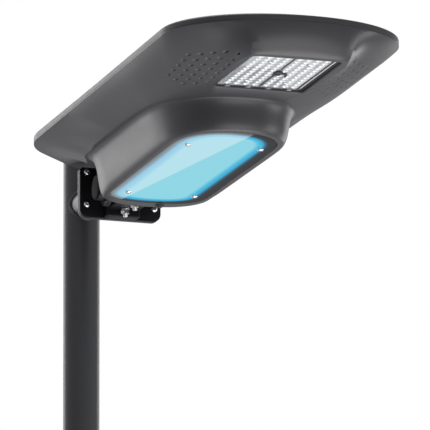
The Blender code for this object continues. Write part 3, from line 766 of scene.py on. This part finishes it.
BLACK_CASTING = painted("black_casting", (0.006, 0.006, 0.007), 0.36, specular=0.12)
BLACK_TUBE = BLACK_CASTING[0], "black_tube"
STEEL = metal("bright_steel", (0.74, 0.74, 0.76), 0.22)
BRIGHT_STEEL = STEEL, "bright_steel"
RIBBON_STEEL = STEEL, "solar_cells"
ALUMINIUM = metal("plain_aluminium", (0.62, 0.63, 0.65), 0.38, (1.0, 12.0, 1.0))
HOUSING_PAINT = painted("housing_paint", (0.026, 0.025, 0.028), 0.40)
POLE_PAINT = painted("pole_paint", (0.020, 0.020, 0.022), 0.38, grain=700.0)
# A darker, duller copy of the black plastic for the pivot's end plugs: painted shade.
PIVOT_SHADED_PLASTIC = painted("pivot_shaded_plastic", (0.004, 0.004, 0.004), 0.60, "black_plastic", specular=0.04)
BLACK_PLASTIC = painted("black_plastic", (0.014, 0.014, 0.015), 0.45, grain=1400.0, depth=0.00002)
RUBBER = painted("seal_rubber", (0.012, 0.012, 0.012), 0.75, grain=500.0)
BATTERY_WRAP = painted("battery_wrap", (0.03, 0.16, 0.36), 0.35, grain=120.0, coat=0.3)
WHITE_BOARD = painted("white_board", (0.60, 0.61, 0.61), 0.45, grain=300.0)
PHOSPHOR = painted("led_phosphor", (0.85, 0.62, 0.16), 0.40, "white_board", grain=600.0)
BACKSHEET = painted("panel_backsheet", (0.010, 0.012, 0.018), 0.18, "solar_cells", grain=200.0,
                    specular=0.22)
CELLS = cell_material(), "solar_cells"
GLOW = glow_material(), "cyan_cover"
CLEAR = optic("clear_optic", (0.95, 0.97, 0.98), 0.06, 0.5, 200.0, Transmission_Weight=0.85,
              IOR=1.49)
# Both lens materials emit painted highlight light: faint over the lenses, bright on their cores.
LENS = optic("lens_optic", (0.66, 0.67, 0.69), 0.22, 0.3, 300.0, Transmission_Weight=0.10,
             IOR=1.49, Emission_Color=PAINTED_LENS_LIGHT, Emission_Strength=LENS_PAINTED_GLOW)
PAINTED_LENS_GLINT = optic("lens_painted_glint", (0.80, 0.82, 0.84), 0.20, 1.0, 300.0,
                  Emission_Color=PAINTED_LENS_LIGHT, Emission_Strength=CORE_PAINTED_GLINT)


# ---- mast ----
def build_pole():
    inner = POLE_R - POLE_WALL
    edge = 0.0006
    profile = [(POLE_R, POLE_TOP), (POLE_R, edge), (POLE_R - edge, 0.0), (inner + edge, 0.0),
               (inner, edge), (inner, POLE_TOP)]
    fit(turned("pole", profile, UP, 96), "mast", POLE_PAINT, "pole_tube")
    lid = POLE_R + 0.0006
    top = POLE_TOP + GAP
    profile = [(0.0, 0.0060), (lid * 0.3, 0.0059), (lid * 0.6, 0.0054), (lid * 0.8, 0.0046),
               (lid * 0.93, 0.0036), (lid * 0.985, 0.0024), (lid, 0.0012), (lid, 0.0),
               (inner - GAP, 0.0), (inner - GAP, -0.014), (0.0, -0.014)]
    fit(turned("pole_lid", profile, shift(0, 0, top), 96), "mast", BLACK_PLASTIC,
        "pole_cap")


def build_arm():
    inner = ARM_R - ARM_WALL
    end = FLANGE_S - GAP
    profile = [(ARM_R, end), (ARM_R, 0.0), (inner, 0.0), (inner, end)]
    arm = turned("arm", profile, shift(0, 0, ARM_Z) @ STREET, 80)
    cut(arm, drum("cope", POLE_R + GAP, 0.2, shift(0, 0, ARM_Z - 0.1), 96))
    fit(arm, "mast", POLE_PAINT, "arm_tube")
    reach = ARM_R + WELD_R * 0.4
    circle = [(reach * math.cos(a), ARM_Z + reach * math.sin(a)) for a in arc(72, 2 * math.pi)[:-1]]
    saddle = [(x, -math.sqrt(POLE_R ** 2 - x ** 2) - WELD_R * 0.3, z) for x, z in circle]
    ring = [(x, -FLANGE_S + WELD_R * 0.4, z) for x, z in circle]
    for name, path, radius in (("pole", saddle, WELD_R), ("flange", ring, WELD_R * 0.8)):
        fit(pipe(f"arm_weld_at_{name}", path, radius, closed=True), "mast", POLE_PAINT)


def plate_outline():
    low, high = PLATE_LOW, PLATE_HIGH
    return rounded([(-PLATE_HALF, low, PLATE_CORNER), (PLATE_HALF, low, PLATE_CORNER),
                    (PLATE_HALF, high, 0.006), (-PLATE_HALF, high, 0.006)], 12)


def drum(name, radius, length, place, steps=32):
    """A plain cylinder from its base centre along local +Z, used for cutting."""
    return turned(name, [(0.0, length), (radius, length), (radius, 0.0), (0.0, 0.0)], place, steps)


def build_bracket():
    far = FLANGE_S + FLANGE_T
    places = [(x, z) for x in (-BOLT_X, BOLT_X) for z in BOLT_Z]
    flange = softened(prism("flange", plate_outline(), FLANGE_S, far, STREET), 0.0010)
    near = far + GAP
    face = near + CAST_T
    cast = softened(prism("casting", plate_outline(), near, face, STREET), 0.0014)
    bulge = block("bulge", (-BULGE_HALF, -BULGE_S, PLATE_LOW + 0.0004),
                  (BULGE_HALF, -near - 0.002, ARM_REF_Z - 0.004), 0.0035, 5)
    cut(cast, bulge, operation="UNION")
    half = [(x, ARM_REF_Z + z, radius) for x, z, radius in NOTCH]
    notch = half + [(-x, z, radius) for x, z, radius in reversed(half[1:])]
    cut(cast, prism("notch", rounded(notch, 8), near - 0.01, BULGE_S + 0.01, STREET))
    saddle = block("saddle", (-SADDLE_HALF, -SADDLE_S, SADDLE_LOW),
                   (SADDLE_HALF, -face + 0.0031, SADDLE_HIGH), 0.0024, 4)
    cut(cast, saddle, operation="UNION")
    cut(cast, drum("seat", PIVOT_R + GAP, 0.2, shift(-0.1, -PIVOT_S, PIVOT_Z) @ ACROSS, 64))
    leg = PIVOT_R + GAP + UBOLT_R
    legs = (PIVOT_S - leg, PIVOT_S + leg)
    cut(cast, *[drum(f"leg_{i}", UBOLT_HOLE_R, 0.04, shift(0, -s, SADDLE_LOW - 0.01))
                for i, s in enumerate(legs)])
    for piece in (flange, cast):
        cut(piece, *[drum(f"hole_{i}", BOLT_HOLE_R, 0.04, shift(x, -near + 0.02, level) @ STREET)
                     for i, (x, level) in enumerate(places)])
    fit(flange, "mast", POLE_PAINT, "arm_flange")
    fit(cast, "mast", BLACK_CASTING, "bracket_casting")
    for i, (x, level) in enumerate(places, 1):
        socket_screw(f"plate_bolt_{i}", BOLT_R, 0.0205, shift(x, -face - GAP, level) @ STREET, "mast",
                     f"bracket_bolt_{i}")
        hex_nut(f"plate_nut_{i}", BOLT_HOLE_R, NUT_WIDTH, NUT_HEIGHT,
                shift(x, -FLANGE_S + GAP + NUT_HEIGHT, level) @ STREET, f"bracket_nut_{i}")
    for i, s in enumerate(legs, 1):
        flat = turned(f"saddle_washer_{i}", ring_profile(UBOLT_HOLE_R, *WASHER),
                      shift(0, -s, SADDLE_LOW - GAP) @ DOWN)
        fit(flat, "mast", BRIGHT_STEEL, f"u_bolt_washer_{i}")
        hex_nut(f"saddle_nut_{i}", UBOLT_HOLE_R, *UBOLT_NUT,
                shift(0, -s, SADDLE_LOW - 2 * GAP - WASHER[1]) @ DOWN, f"u_bolt_nut_{i}")
    build_u_bolt(leg)


def ring_profile(bore, outer, height, edge=0.0003):
    return [(outer - edge, height), (outer, height - edge), (outer, edge), (outer - edge, 0.0),
            (bore + edge, 0.0), (bore, edge), (bore, height - edge), (bore + edge, height)]


def build_u_bolt(leg):
    """A bent round bar whose legs end in cut threads."""
    foot = ARM_REF_Z - UBOLT_DROP
    thread_top = foot + THREAD_LENGTH
    path = [(0.0, -(PIVOT_S - leg), thread_top)]
    path += [(0.0, leg * math.cos(angle) - PIVOT_S, PIVOT_Z + leg * math.sin(angle))
             for angle in arc(32, math.pi)]
    path.append((0.0, -(PIVOT_S + leg), thread_top))
    bar = pipe("u_bolt_bar", path, UBOLT_R, sides=8)
    fit(bar, "mast", BRIGHT_STEEL, "u_bolt")
    for i, s in enumerate((PIVOT_S - leg, PIVOT_S + leg), 1):
        profile = [(0.0, 0.0), (UBOLT_R * 0.75, 0.0)]
        z = 0.0006
        while z < thread_top - foot - 0.001:
            profile += [(UBOLT_R * 0.86, z), (UBOLT_R - 0.00004, z + THREAD_PITCH / 2)]
            z += THREAD_PITCH
        profile += [(UBOLT_R, thread_top - foot), (0.0, thread_top - foot)]
        stem = turned(f"u_bolt_thread_{i}", list(reversed(profile)), shift(0, -s, foot), 32)
        fit(stem, "mast", BRIGHT_STEEL, angle=0.4)


# ---- fasteners ----
def socket_screw(name, radius, length, place, body, *nodes):
    """A button-head screw with a hexagon socket: head on the local +Z side of place."""
    head = radius * 1.82
    height = radius * 1.15
    profile = [(0.0, height)]
    profile += [(head * (0.42 + 0.58 * math.sin(angle)), height * (0.12 + 0.88 * math.cos(angle)))
                for angle in arc(8)]
    profile += [(head, 0.0003), (head - 0.0003, 0.0), (radius, 0.0), (radius, -length),
                (0.0, -length)]
    item = turned(name, profile, place, 40)
    socket = drum(name + "_socket", radius * 0.72, radius * 2, place @ shift(0, 0, height * 0.35), 6)
    cut(item, socket)
    return fit(item, body, BRIGHT_STEEL, *nodes)


def head_screws(name, node, places, radius, length, level):
    for i, (x, s) in enumerate(places, 1):
        socket_screw(f"{name}_{i}", radius, length, at_head(x, s, level - GAP) @ DOWN, "head",
                     f"{node}_{i}")


def head_holes(item, places, radius, length, low):
    """Drill a piece of the head from the level low upwards, at (x, s) places."""
    cut(item, *[drum(f"hole_{i}", radius, length, at_head(x, s, low))
                for i, (x, s) in enumerate(places)])


def hex_nut(name, bore, across_flats, height, place, *nodes):
    """A chamfered hexagon nut that starts at place and grows along local +Z."""
    corner = across_flats / math.sqrt(3)
    slope = (corner - across_flats / 2) * 0.6
    profile = [(across_flats * 0.46, height), (corner + 0.0002, height - slope),
               (corner + 0.0002, slope), (across_flats * 0.46, 0.0), (bore + 0.0004, 0.0),
               (bore, 0.0004), (bore, height - 0.0004), (bore + 0.0004, height)]
    item = turned(name, profile, place, 48)
    blank = drum(name + "_hexagon", corner, height + 0.002, place @ shift(0, 0, -0.001), 6)
    cut(item, blank, operation="INTERSECT")
    return fit(item, "mast", BRIGHT_STEEL, *nodes, angle=0.35)


# ---- head shell ----
def build_housing():
    outer = in_head(shell_rings(22, 20, 0.0, SHELL_TOP, BOX_FLOOR))
    cavity = in_head(shell_rings(10, 10, SKIN, 0.02, BOX_INNER_FLOOR))
    shell = loft("housing", outer)
    hollow = loft("cavity", cavity)
    bay = rounded([(0.0, 0.10, 0.0), (BAY_HALF, 0.10, 0.0), (BAY_HALF, BAY_S, 0.020),
                   (0.0, BAY_S, 0.0)], 8)
    wall = rounded([(0.0, 0.09, 0.0), (BAY_HALF + SKIN, 0.09, 0.0),
                    (BAY_HALF + SKIN, BAY_S + SKIN, 0.023), (0.0, BAY_S + SKIN, 0.0)], 8)
    led_wall = led_frame(LED_HALF + 2 * SKIN, 0.011)
    cut(hollow, head_loft("bay_wall", [(wall, 0.05), (wall, -0.21)]),
        head_loft("led_wall", [(led_wall, LED_ROOF + SKIN), (led_wall, -0.11)]))
    cover = ray_points(COVER)
    seat, window = shrink(cover, -GROOVE), shrink(cover, 0.007)
    seat_top = BOX_FLOOR + COVER_T + 0.0016
    seat_mouth = [(seat, seat_top), (seat, BOX_FLOOR + 0.0008), (shrink(seat, -0.0008), BOX_FLOOR),
                  (shrink(seat, -0.0008), -0.2)]
    cut(shell, hollow)
    cut(shell, head_loft("bay_cut", [(bay, 0.0), (bay, -0.2)]), led_pocket())
    cut(shell, head_loft("seat_cut", seat_mouth),
        head_loft("window_cut", [(window, -0.08), (window, -0.19)]))
    cut(shell, arm_relief())
    cut(shell, drum("button_cut", 0.0063, 0.032, at_head(*BUTTON_PLACE, -0.12)))
    cut(shell, dents(shell))
    fit(shell, "head", HOUSING_PAINT, "lower_housing", angle=0.5)


def led_pocket():
    """The recess for the LED module, with a rolled lip where it meets the hull."""
    levels = [(led_frame(LED_HALF, LED_CORNER), LED_ROOF)]
    for angle in arc(8):
        grow = LED_LIP * (1 - math.cos(angle))
        levels.append((led_frame(LED_HALF + grow, LED_CORNER + grow),
                       -HULL_DEPTH + LED_LIP * (1 - math.sin(angle))))
    levels.append((levels[-1][0], -0.08))
    return head_loft("led_pocket", levels)


def arm_relief():
    return head_block("arm_relief", (-0.030, 0.10, -0.1), (0.030, 0.222, 0.0085))


def dents(shell):
    """Scoops in slanting rows on both flanks of the LED module, each steep on its pole side."""
    tree = BVHTree.FromObject(shell, bpy.context.evaluated_depsgraph_get())
    places = []
    for row in range(DENT_ROWS):
        for column in range(DENT_COLUMNS):
            x = DENT_FIRST[0] + DENT_STEP * column
            s = DENT_FIRST[1] + DENT_SLANT * column - DENT_PITCH * row
            if s > DENT_REAR_END:
                places += [(x, s), (-x, s)]

    def build(bm):
        for x, s in places:
            hit, normal, _, _ = tree.ray_cast(Vector((x, PIVOT_S - s, -0.2)), Vector((0, 0, 1)))
            out = normal if normal.z < 0 else -normal
            turn = out.to_track_quat("Z", "Y").to_matrix().to_4x4()
            flip = 1 if (turn @ Vector((0, 1, 0))).y > 0 else -1
            tilt = Matrix.Rotation(-flip * DENT_TILT, 4, "X")
            size = Matrix.Diagonal((*DENT_SIZE, 1.0))
            lift = Matrix.Translation(hit + out * (DENT_LIFT if x < 0 else DENT_LIFT_RIGHT))
            bmesh.ops.create_uvsphere(bm, u_segments=20, v_segments=10, radius=1.0,
                                      matrix=lift @ turn @ tilt @ size)

    return mesh_object("dents", build)


def build_deck():
    """The frame round the solar panel: a band with a rolled top edge and a recess for the glass."""
    edge = ray_points(head_outline())
    pocket = ray_points(SOLAR_HALF)
    opening = shrink(pocket, 0.014)
    low, recess = SHELL_TOP + GAP, DECK_TOP - 0.0045
    levels = [(opening, low), (shrink(edge, 0.0006), low), (edge, low + 0.0006),
              (edge, DECK_TOP - DECK_ROLL)]
    levels += [(shrink(edge, DECK_ROLL * (1 - math.cos(angle))),
                DECK_TOP - DECK_ROLL * (1 - math.sin(angle))) for angle in arc(8)[1:]]
    levels += [(shrink(pocket, -0.0006), DECK_TOP), (pocket, DECK_TOP - 0.0006), (pocket, recess),
               (opening, recess)]
    deck = head_loft("deck", levels, closed=True)
    cut(deck, arm_relief())
    fit(deck, "head", HOUSING_PAINT, "panel_frame", angle=0.5)


def build_panel():
    """The solar glass, its cells with nicked corners, and the ribbons that join them."""
    pocket = shrink(ray_points(SOLAR_HALF), 0.0006)
    top = DECK_TOP - 0.0007
    sheet = head_loft("panel_glass", [(shrink(pocket, 0.0005), top), (pocket, top - 0.0005),
                                      (pocket, DECK_TOP - 0.0042)])
    fit(sheet, "head", BACKSHEET, "solar_laminate")
    across, along = CELL_PITCH
    columns = [(c - (CELL_COLUMNS - 1) / 2) * across for c in range(CELL_COLUMNS)]
    middle_s = sum(PANEL_S) / 2
    rows = [middle_s + (r - (CELL_ROWS - 1) / 2) * along for r in range(CELL_ROWS)]
    x, y = (across - CELL_GAP) / 2, (along - CELL_GAP) / 2
    quarter = [(x, y - CELL_NICK), (x - CELL_NICK, y)]
    corner = quarter + [(-i, j) for i, j in reversed(quarter)]
    outline = corner + [(-i, -j) for i, j in corner]
    cells = spots([(c, s) for s in rows for c in columns], w=top)
    fit(repeated("panel_cells", (raised(outline, -0.0001, 0.00022), cells)), "head", CELLS)
    reach = CELL_ROWS * along / 2
    level = top + 0.0003
    strips = spots([(c + offset * across, middle_s) for c in columns for offset in RIBBON_SHIFTS],
                   w=level)
    ends = spots([(0.0, middle_s + side * (reach + 0.004)) for side in (1, -1)], w=level)
    fit(repeated("panel_ribbons", (brick(0.00065, reach, 0.0001), strips),
                 (brick(CELL_COLUMNS * across / 2 - 0.01, 0.002, 0.0001), ends)), "head", RIBBON_STEEL)


# ---- tilt joint ----
def build_tilt_joint():
    base = head_block("base", (-0.054, 0.226, TILT_BASE_LOW), (0.054, 0.318, -GAP), 0.0012)
    top = W_LIFT - 0.003
    ear = [(EAR_R, top), (-EAR_R, top)]
    ear += [(EAR_R * math.cos(angle), EAR_R * math.sin(angle)) for angle in arc(32, math.pi, math.pi)]
    for side in (-1, 1):
        near, far = sorted((side * EAR_X[0], side * EAR_X[1]))
        cheek = prism(f"cheek_{side + 1}", [(-z, y) for y, z in ear], near, far, ACROSS)
        cut(base, softened(cheek, 0.0012), operation="UNION")
    cut(base, drum("ear_bore", PIVOT_R + GAP, 0.2, shift(-0.1, 0, 0) @ ACROSS, 64))
    head_holes(base, TILT_BOLTS, BOLT_HOLE_R, 0.04, -0.02)
    fit(base, "head", BLACK_CASTING, "tilt_bracket")
    inner = PIVOT_R - PIVOT_WALL
    half, edge = PIVOT_HALF, 0.0006
    tube = [(PIVOT_R - edge, half), (PIVOT_R, half - edge), (PIVOT_R, edge - half),
            (PIVOT_R - edge, -half), (inner, -half), (inner, half)]
    fit(turned("pivot", tube, ACROSS, 72), "head", BLACK_TUBE, "pivot_tube")
    plug = inner - GAP
    profile = [(0.0, 0.0025), (PIVOT_R - 0.003, 0.0025), (PIVOT_R - 0.001, 0.0019), (PIVOT_R, 0.0008),
               (PIVOT_R, 0.0), (plug, 0.0), (plug, -0.009), (0.0, -0.009)]
    for side, turn, name in ((1, ACROSS, "right"), (-1, LEFTWARD, "left")):
        fit(turned(f"pivot_end_{name}", profile, shift(side * (half + GAP), 0, 0) @ turn, 64), "head",
            PIVOT_SHADED_PLASTIC, f"pivot_plug_{name}")
    head_screws("head_bolt", "tilt_bolt", TILT_BOLTS, BOLT_R, 0.0150, TILT_BASE_LOW)


# ---- LED module ----
def lens_places():
    """(x, s) of every lens: columns on each side of the middle bar, clear of the screws."""
    columns = [side * (LENS_FIRST + LENS_STEP * k) for side in (-1, 1) for k in range(LENS_COLUMNS)]
    rows = [LED_S + (k - (LENS_ROWS - 1) / 2) * LENS_PITCH for k in range(LENS_ROWS)]
    return [(x, s) for x in columns for s in rows
            if all(math.hypot(x - a, s - b) > LENS_CLEARANCE for a, b in LED_SCREWS)]


def build_led_module():
    outline = led_frame(BOARD_HALF, BOARD_CORNER, 6)
    board = head_loft("board", [(outline, LED_ROOF - GAP), (outline, BOARD_LOW)])
    fit(softened(board, 0.0002, 1), "head", WHITE_BOARD, "led_board")
    lenses = lens_places()
    chips = brick(0.0017, 0.0017, 0.0001), spots(lenses, w=BOARD_LOW - 0.0001)
    fit(repeated("led_chips", chips), "head", PHOSPHOR)
    outline = led_frame(PLATE_HALF_X, BOARD_CORNER, 6)
    outer = led_frame(PLATE_HALF_X - LENS_EDGE, BOARD_CORNER - LENS_EDGE, 6)
    plate = head_loft("lens_sheet", [(outline, BOARD_LOW - GAP), (outline, LENS_BASE),
                                     (outer, LED_FACE)])
    head_holes(plate, LED_SCREWS, 0.0026, 0.02, -0.06)
    fit(plate, "head", CLEAR, "lens_plate")
    lobes = [(dome(*LENS_SIZE), spots(lenses, ds=ds, w=LENS_BASE)) for ds in (-LENS_LOBE, LENS_LOBE)]
    # Bright cores set to one side of each lens: painted highlights.
    cores = dome(*CORE_SIZE, 12, 5), spots(lenses, GLINT_CORE_SHIFT, w=LENS_BASE)
    fit(repeated("lens_field", *lobes), "head", LENS, angle=1.2)
    fit(repeated("lens_painted_glints", cores), "head", PAINTED_LENS_GLINT, angle=1.2)
    build_led_trim()
    head_screws("module_screw", "led_screw", LED_SCREWS, 0.0022, 0.0060, LED_FACE)


def module_block(name, x, s, w, bevel=0.0, segments=3):
    """A block from spans of x, of s from the module's middle and of w from its outer face."""
    low, high = zip(x, (LED_S + end for end in s), (LED_FACE + end for end in w))
    return head_block(name, low, high, bevel, segments)


def build_led_trim():
    """The seal round the module, its middle bar, its clips and its curved plug."""
    seal, inner = led_frame(0.0752, 0.0077), led_frame(0.0717, 0.0045)
    low = LED_FACE - 0.0006
    levels = [(inner, LED_ROOF - GAP), (seal, LED_ROOF - GAP), (seal, LED_FACE),
              (led_frame(0.0746, 0.0071), low), (led_frame(0.0723, 0.0051), low), (inner, LED_FACE)]
    fit(head_loft("module_seal", levels, closed=True), "head", RUBBER, "led_gasket")
    for name, x, s, drop, bevel in (
            ("middle_bar_rear", (-0.0009, 0.0009), (-0.094, -0.019), 0.0011, 0.0004),
            ("middle_bar_front", (-0.0009, 0.0009), (0.019, 0.094), 0.0011, 0.0004),
            ("edge_rail", (0.0640, 0.0655), (-0.097, 0.097), 0.0013, 0.0005)):
        fit(module_block(name, x, s, (-drop, 0.0002), bevel), "head", BLACK_PLASTIC)
    for k in range(4):
        x = -0.052 + 0.0347 * k
        tab = module_block(f"clip_{k + 1}", (x - 0.004, x + 0.004), (-0.1046, -0.0965),
                           (-0.0024, -0.0002), 0.0007)
        fit(tab, "head", CLEAR)
    plug = module_block("plug_shell", (-0.0062, 0.0062), (-0.0105, 0.0105), (-0.0040, -GAP), 0.0016, 4)
    cut(plug, *[module_block(f"plug_groove_{k}", (-0.008, 0.008),
                             (0.0042 * k - 0.0075, 0.0042 * k - 0.0062), (-0.006, -0.0033))
                for k in range(4)])
    fit(plug, "head", BLACK_PLASTIC, "led_connector")
    bend = [(0.0065 + BOOT_BEND * math.sin(a), PIVOT_S - LED_S + BOOT_BEND * (1 - math.cos(a)),
             LED_FACE - 0.0021 + W_LIFT) for a in arc(20, math.pi * 0.62)]
    fit(pipe("plug_boot", bend, 0.0017, sides=6), "head", BLACK_PLASTIC)


# ---- window and power ----
def nearest_on(place, a, b):
    """The point of the segment from a to b that is nearest to a place."""
    along = b - a
    share = (place - a).dot(along) / along.length_squared
    return a + along * min(max(share, 0.0), 1.0)


def build_window():
    """A flat cover whose distance from its own edge drives the glow's colours."""
    outline = ray_points(COVER)
    edge, centre = shrink(outline, 0.0005), [(0.0, HULL_CENTRE_S)] * len(outline)
    levels = [(outline, BOX_FLOOR + COVER_T), (outline, BOX_FLOOR + 0.0005)]
    levels += [(blend(edge, centre, k / WINDOW_RINGS), BOX_FLOOR) for k in range(WINDOW_RINGS)]
    cover = head_loft("window", levels)
    head_screws("window_screw", "cover_screw", COVER_SCREWS, BOLT_R, 0.0170, BOX_FLOOR)
    head_holes(cover, COVER_SCREWS, BOLT_HOLE_R, 0.02, BOX_FLOOR - 0.01)
    value = cover.data.attributes.new("edge", "FLOAT", "POINT")
    rim = [Vector((x, PIVOT_S - s)) for x, s in outline]
    sides = list(zip(rim, rim[1:]))
    for item, vertex in zip(value.data, cover.data.vertices):
        place = Vector((abs(vertex.co.x), vertex.co.y))
        reach = min((place - nearest_on(place, a, b)).length for a, b in sides)
        item.value = reach - GLOW_LEAN * vertex.co.x
    fit(cover, "head", GLOW, "window_cover")


def build_button():
    x, s = BUTTON_PLACE
    place = at_head(x, s, BOX_FLOOR - GAP) @ DOWN
    bezel = [(0.0071, 0.0013), (0.0075, 0.0008), (0.0075, 0.0), (0.0060, 0.0), (0.0060, -0.0085),
             (0.0050, -0.0085), (0.0050, 0.0012), (0.0053, 0.0016), (0.0066, 0.0016)]
    fit(turned("bezel", bezel, place), "head", BLACK_PLASTIC, "button_bezel")
    cap = [(0.0, 0.0036), (0.0015, 0.0037), (0.0030, 0.0041), (0.0040, 0.0039), (0.0045, 0.0033),
           (0.0047, 0.0024), (0.0047, -0.0088), (0.0058, -0.0088), (0.0058, -0.0102), (0.0, -0.0102)]
    fit(turned("button_cap", cap, place), "button", BLACK_PLASTIC, "power_button")


def build_power():
    """Rounded battery packs, and the finer materials of what keeps its plain shape."""
    low, high = BOX_INNER_FLOOR + 0.0063, -0.0420
    for side, name in ((-1, "left"), (1, "right")):
        near, far = sorted((side * 0.004, side * 0.074))
        pack = head_block(f"pack_{name}", (near, 0.448, low), (far, 0.750, high), 0.006, 4)
        fit(pack, "head", BATTERY_WRAP, f"battery_pack_{name}")
    for nodes, material in ((("battery_strap_rear", "battery_strap_front", "battery_tray",
                              "led_heatsink"), ALUMINIUM), (("window_gasket",), RUBBER[0]),
                            (("light_guide",), CLEAR[0]),
                            (("charge_controller", "switch_body"), BLACK_PLASTIC[0])):
        for node in nodes:
            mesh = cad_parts[node].data
            mesh.materials.clear()
            mesh.materials.append(material)


# ---- studio ----
def build_floor():
    disc = turned("floor", [(0.0, 0.0), (FLOOR_R, 0.0), (FLOOR_R, -0.05), (0.0, -0.05)],
                  shift(0, -0.6, FLOOR_Z), 96)
    disc.data.materials.append(new_material("pale_floor", (0.88, 0.88, 0.88), 0.8))


def build_world():
    """A white backdrop for the camera; for lighting, a dome that is dimmest across its middle."""
    world = bpy.data.worlds.new("studio")
    bpy.context.scene.world = world
    world.use_nodes = True
    tree = world.node_tree
    tree.nodes.clear()
    place = add_node(tree, "TexCoord").outputs["Generated"]
    side = add_node(tree, "VectorMath", {0: place, 1: DOME_AXIS}, operation="DOT_PRODUCT")
    light = ramped(tree, ranged(tree, side.outputs["Value"], -1.0, 1.0),
                   [(where, (value, value, value * DOME_BLUE)) for where, value in DOME])
    lit = add_node(tree, "Background", {"Color": light}).outputs["Background"]
    backdrop = add_node(tree, "Background", {"Color": (1.0, 1.0, 1.0, 1.0)}).outputs["Background"]
    seen = add_node(tree, "LightPath").outputs["Is Camera Ray"]
    mix = add_node(tree, "MixShader", {0: seen, 1: lit, 2: backdrop})
    add_node(tree, "OutputWorld", {"Surface": mix.outputs["Shader"]})


def build_lights():
    """Rectangular lamps aimed at the head, unseen by the camera itself."""
    for name, place, size, power in SOFTBOXES:
        light = bpy.data.lights.new(name, "AREA")
        light.shape = "RECTANGLE"
        light.size, light.size_y = size
        light.energy = power
        item = new_object(name, light)
        item.location = place
        aim = Vector(LIGHTS_AIM) - Vector(place)
        item.rotation_euler = aim.to_track_quat("-Z", "Y").to_euler()
        item.visible_camera = False


def build_camera():
    """A very long lens, so that upright and level edges stay parallel."""
    azimuth, elevation = [math.radians(angle) for angle in CAMERA_TURN]
    level = math.cos(elevation)
    look = Vector((-math.sin(azimuth) * level, math.cos(azimuth) * level, -math.sin(elevation)))
    data = bpy.data.cameras.new("camera")
    data.sensor_width = 36
    data.lens = CAMERA_LENS
    item = new_object("camera", data)
    item.location = Vector(CAMERA_TARGET) - look * CAMERA_LENS / LENS_PER_METRE
    item.rotation_euler = look.to_track_quat("-Z", "Y").to_euler()
    bpy.context.scene.camera = item


build_pole()
build_arm()
build_bracket()
build_housing()
build_deck()
build_panel()
build_tilt_joint()
build_led_module()
build_window()
build_button()
build_power()
build_floor()
build_world()
build_lights()
build_camera()
bpy.context.scene.view_settings.view_transform = "Standard"
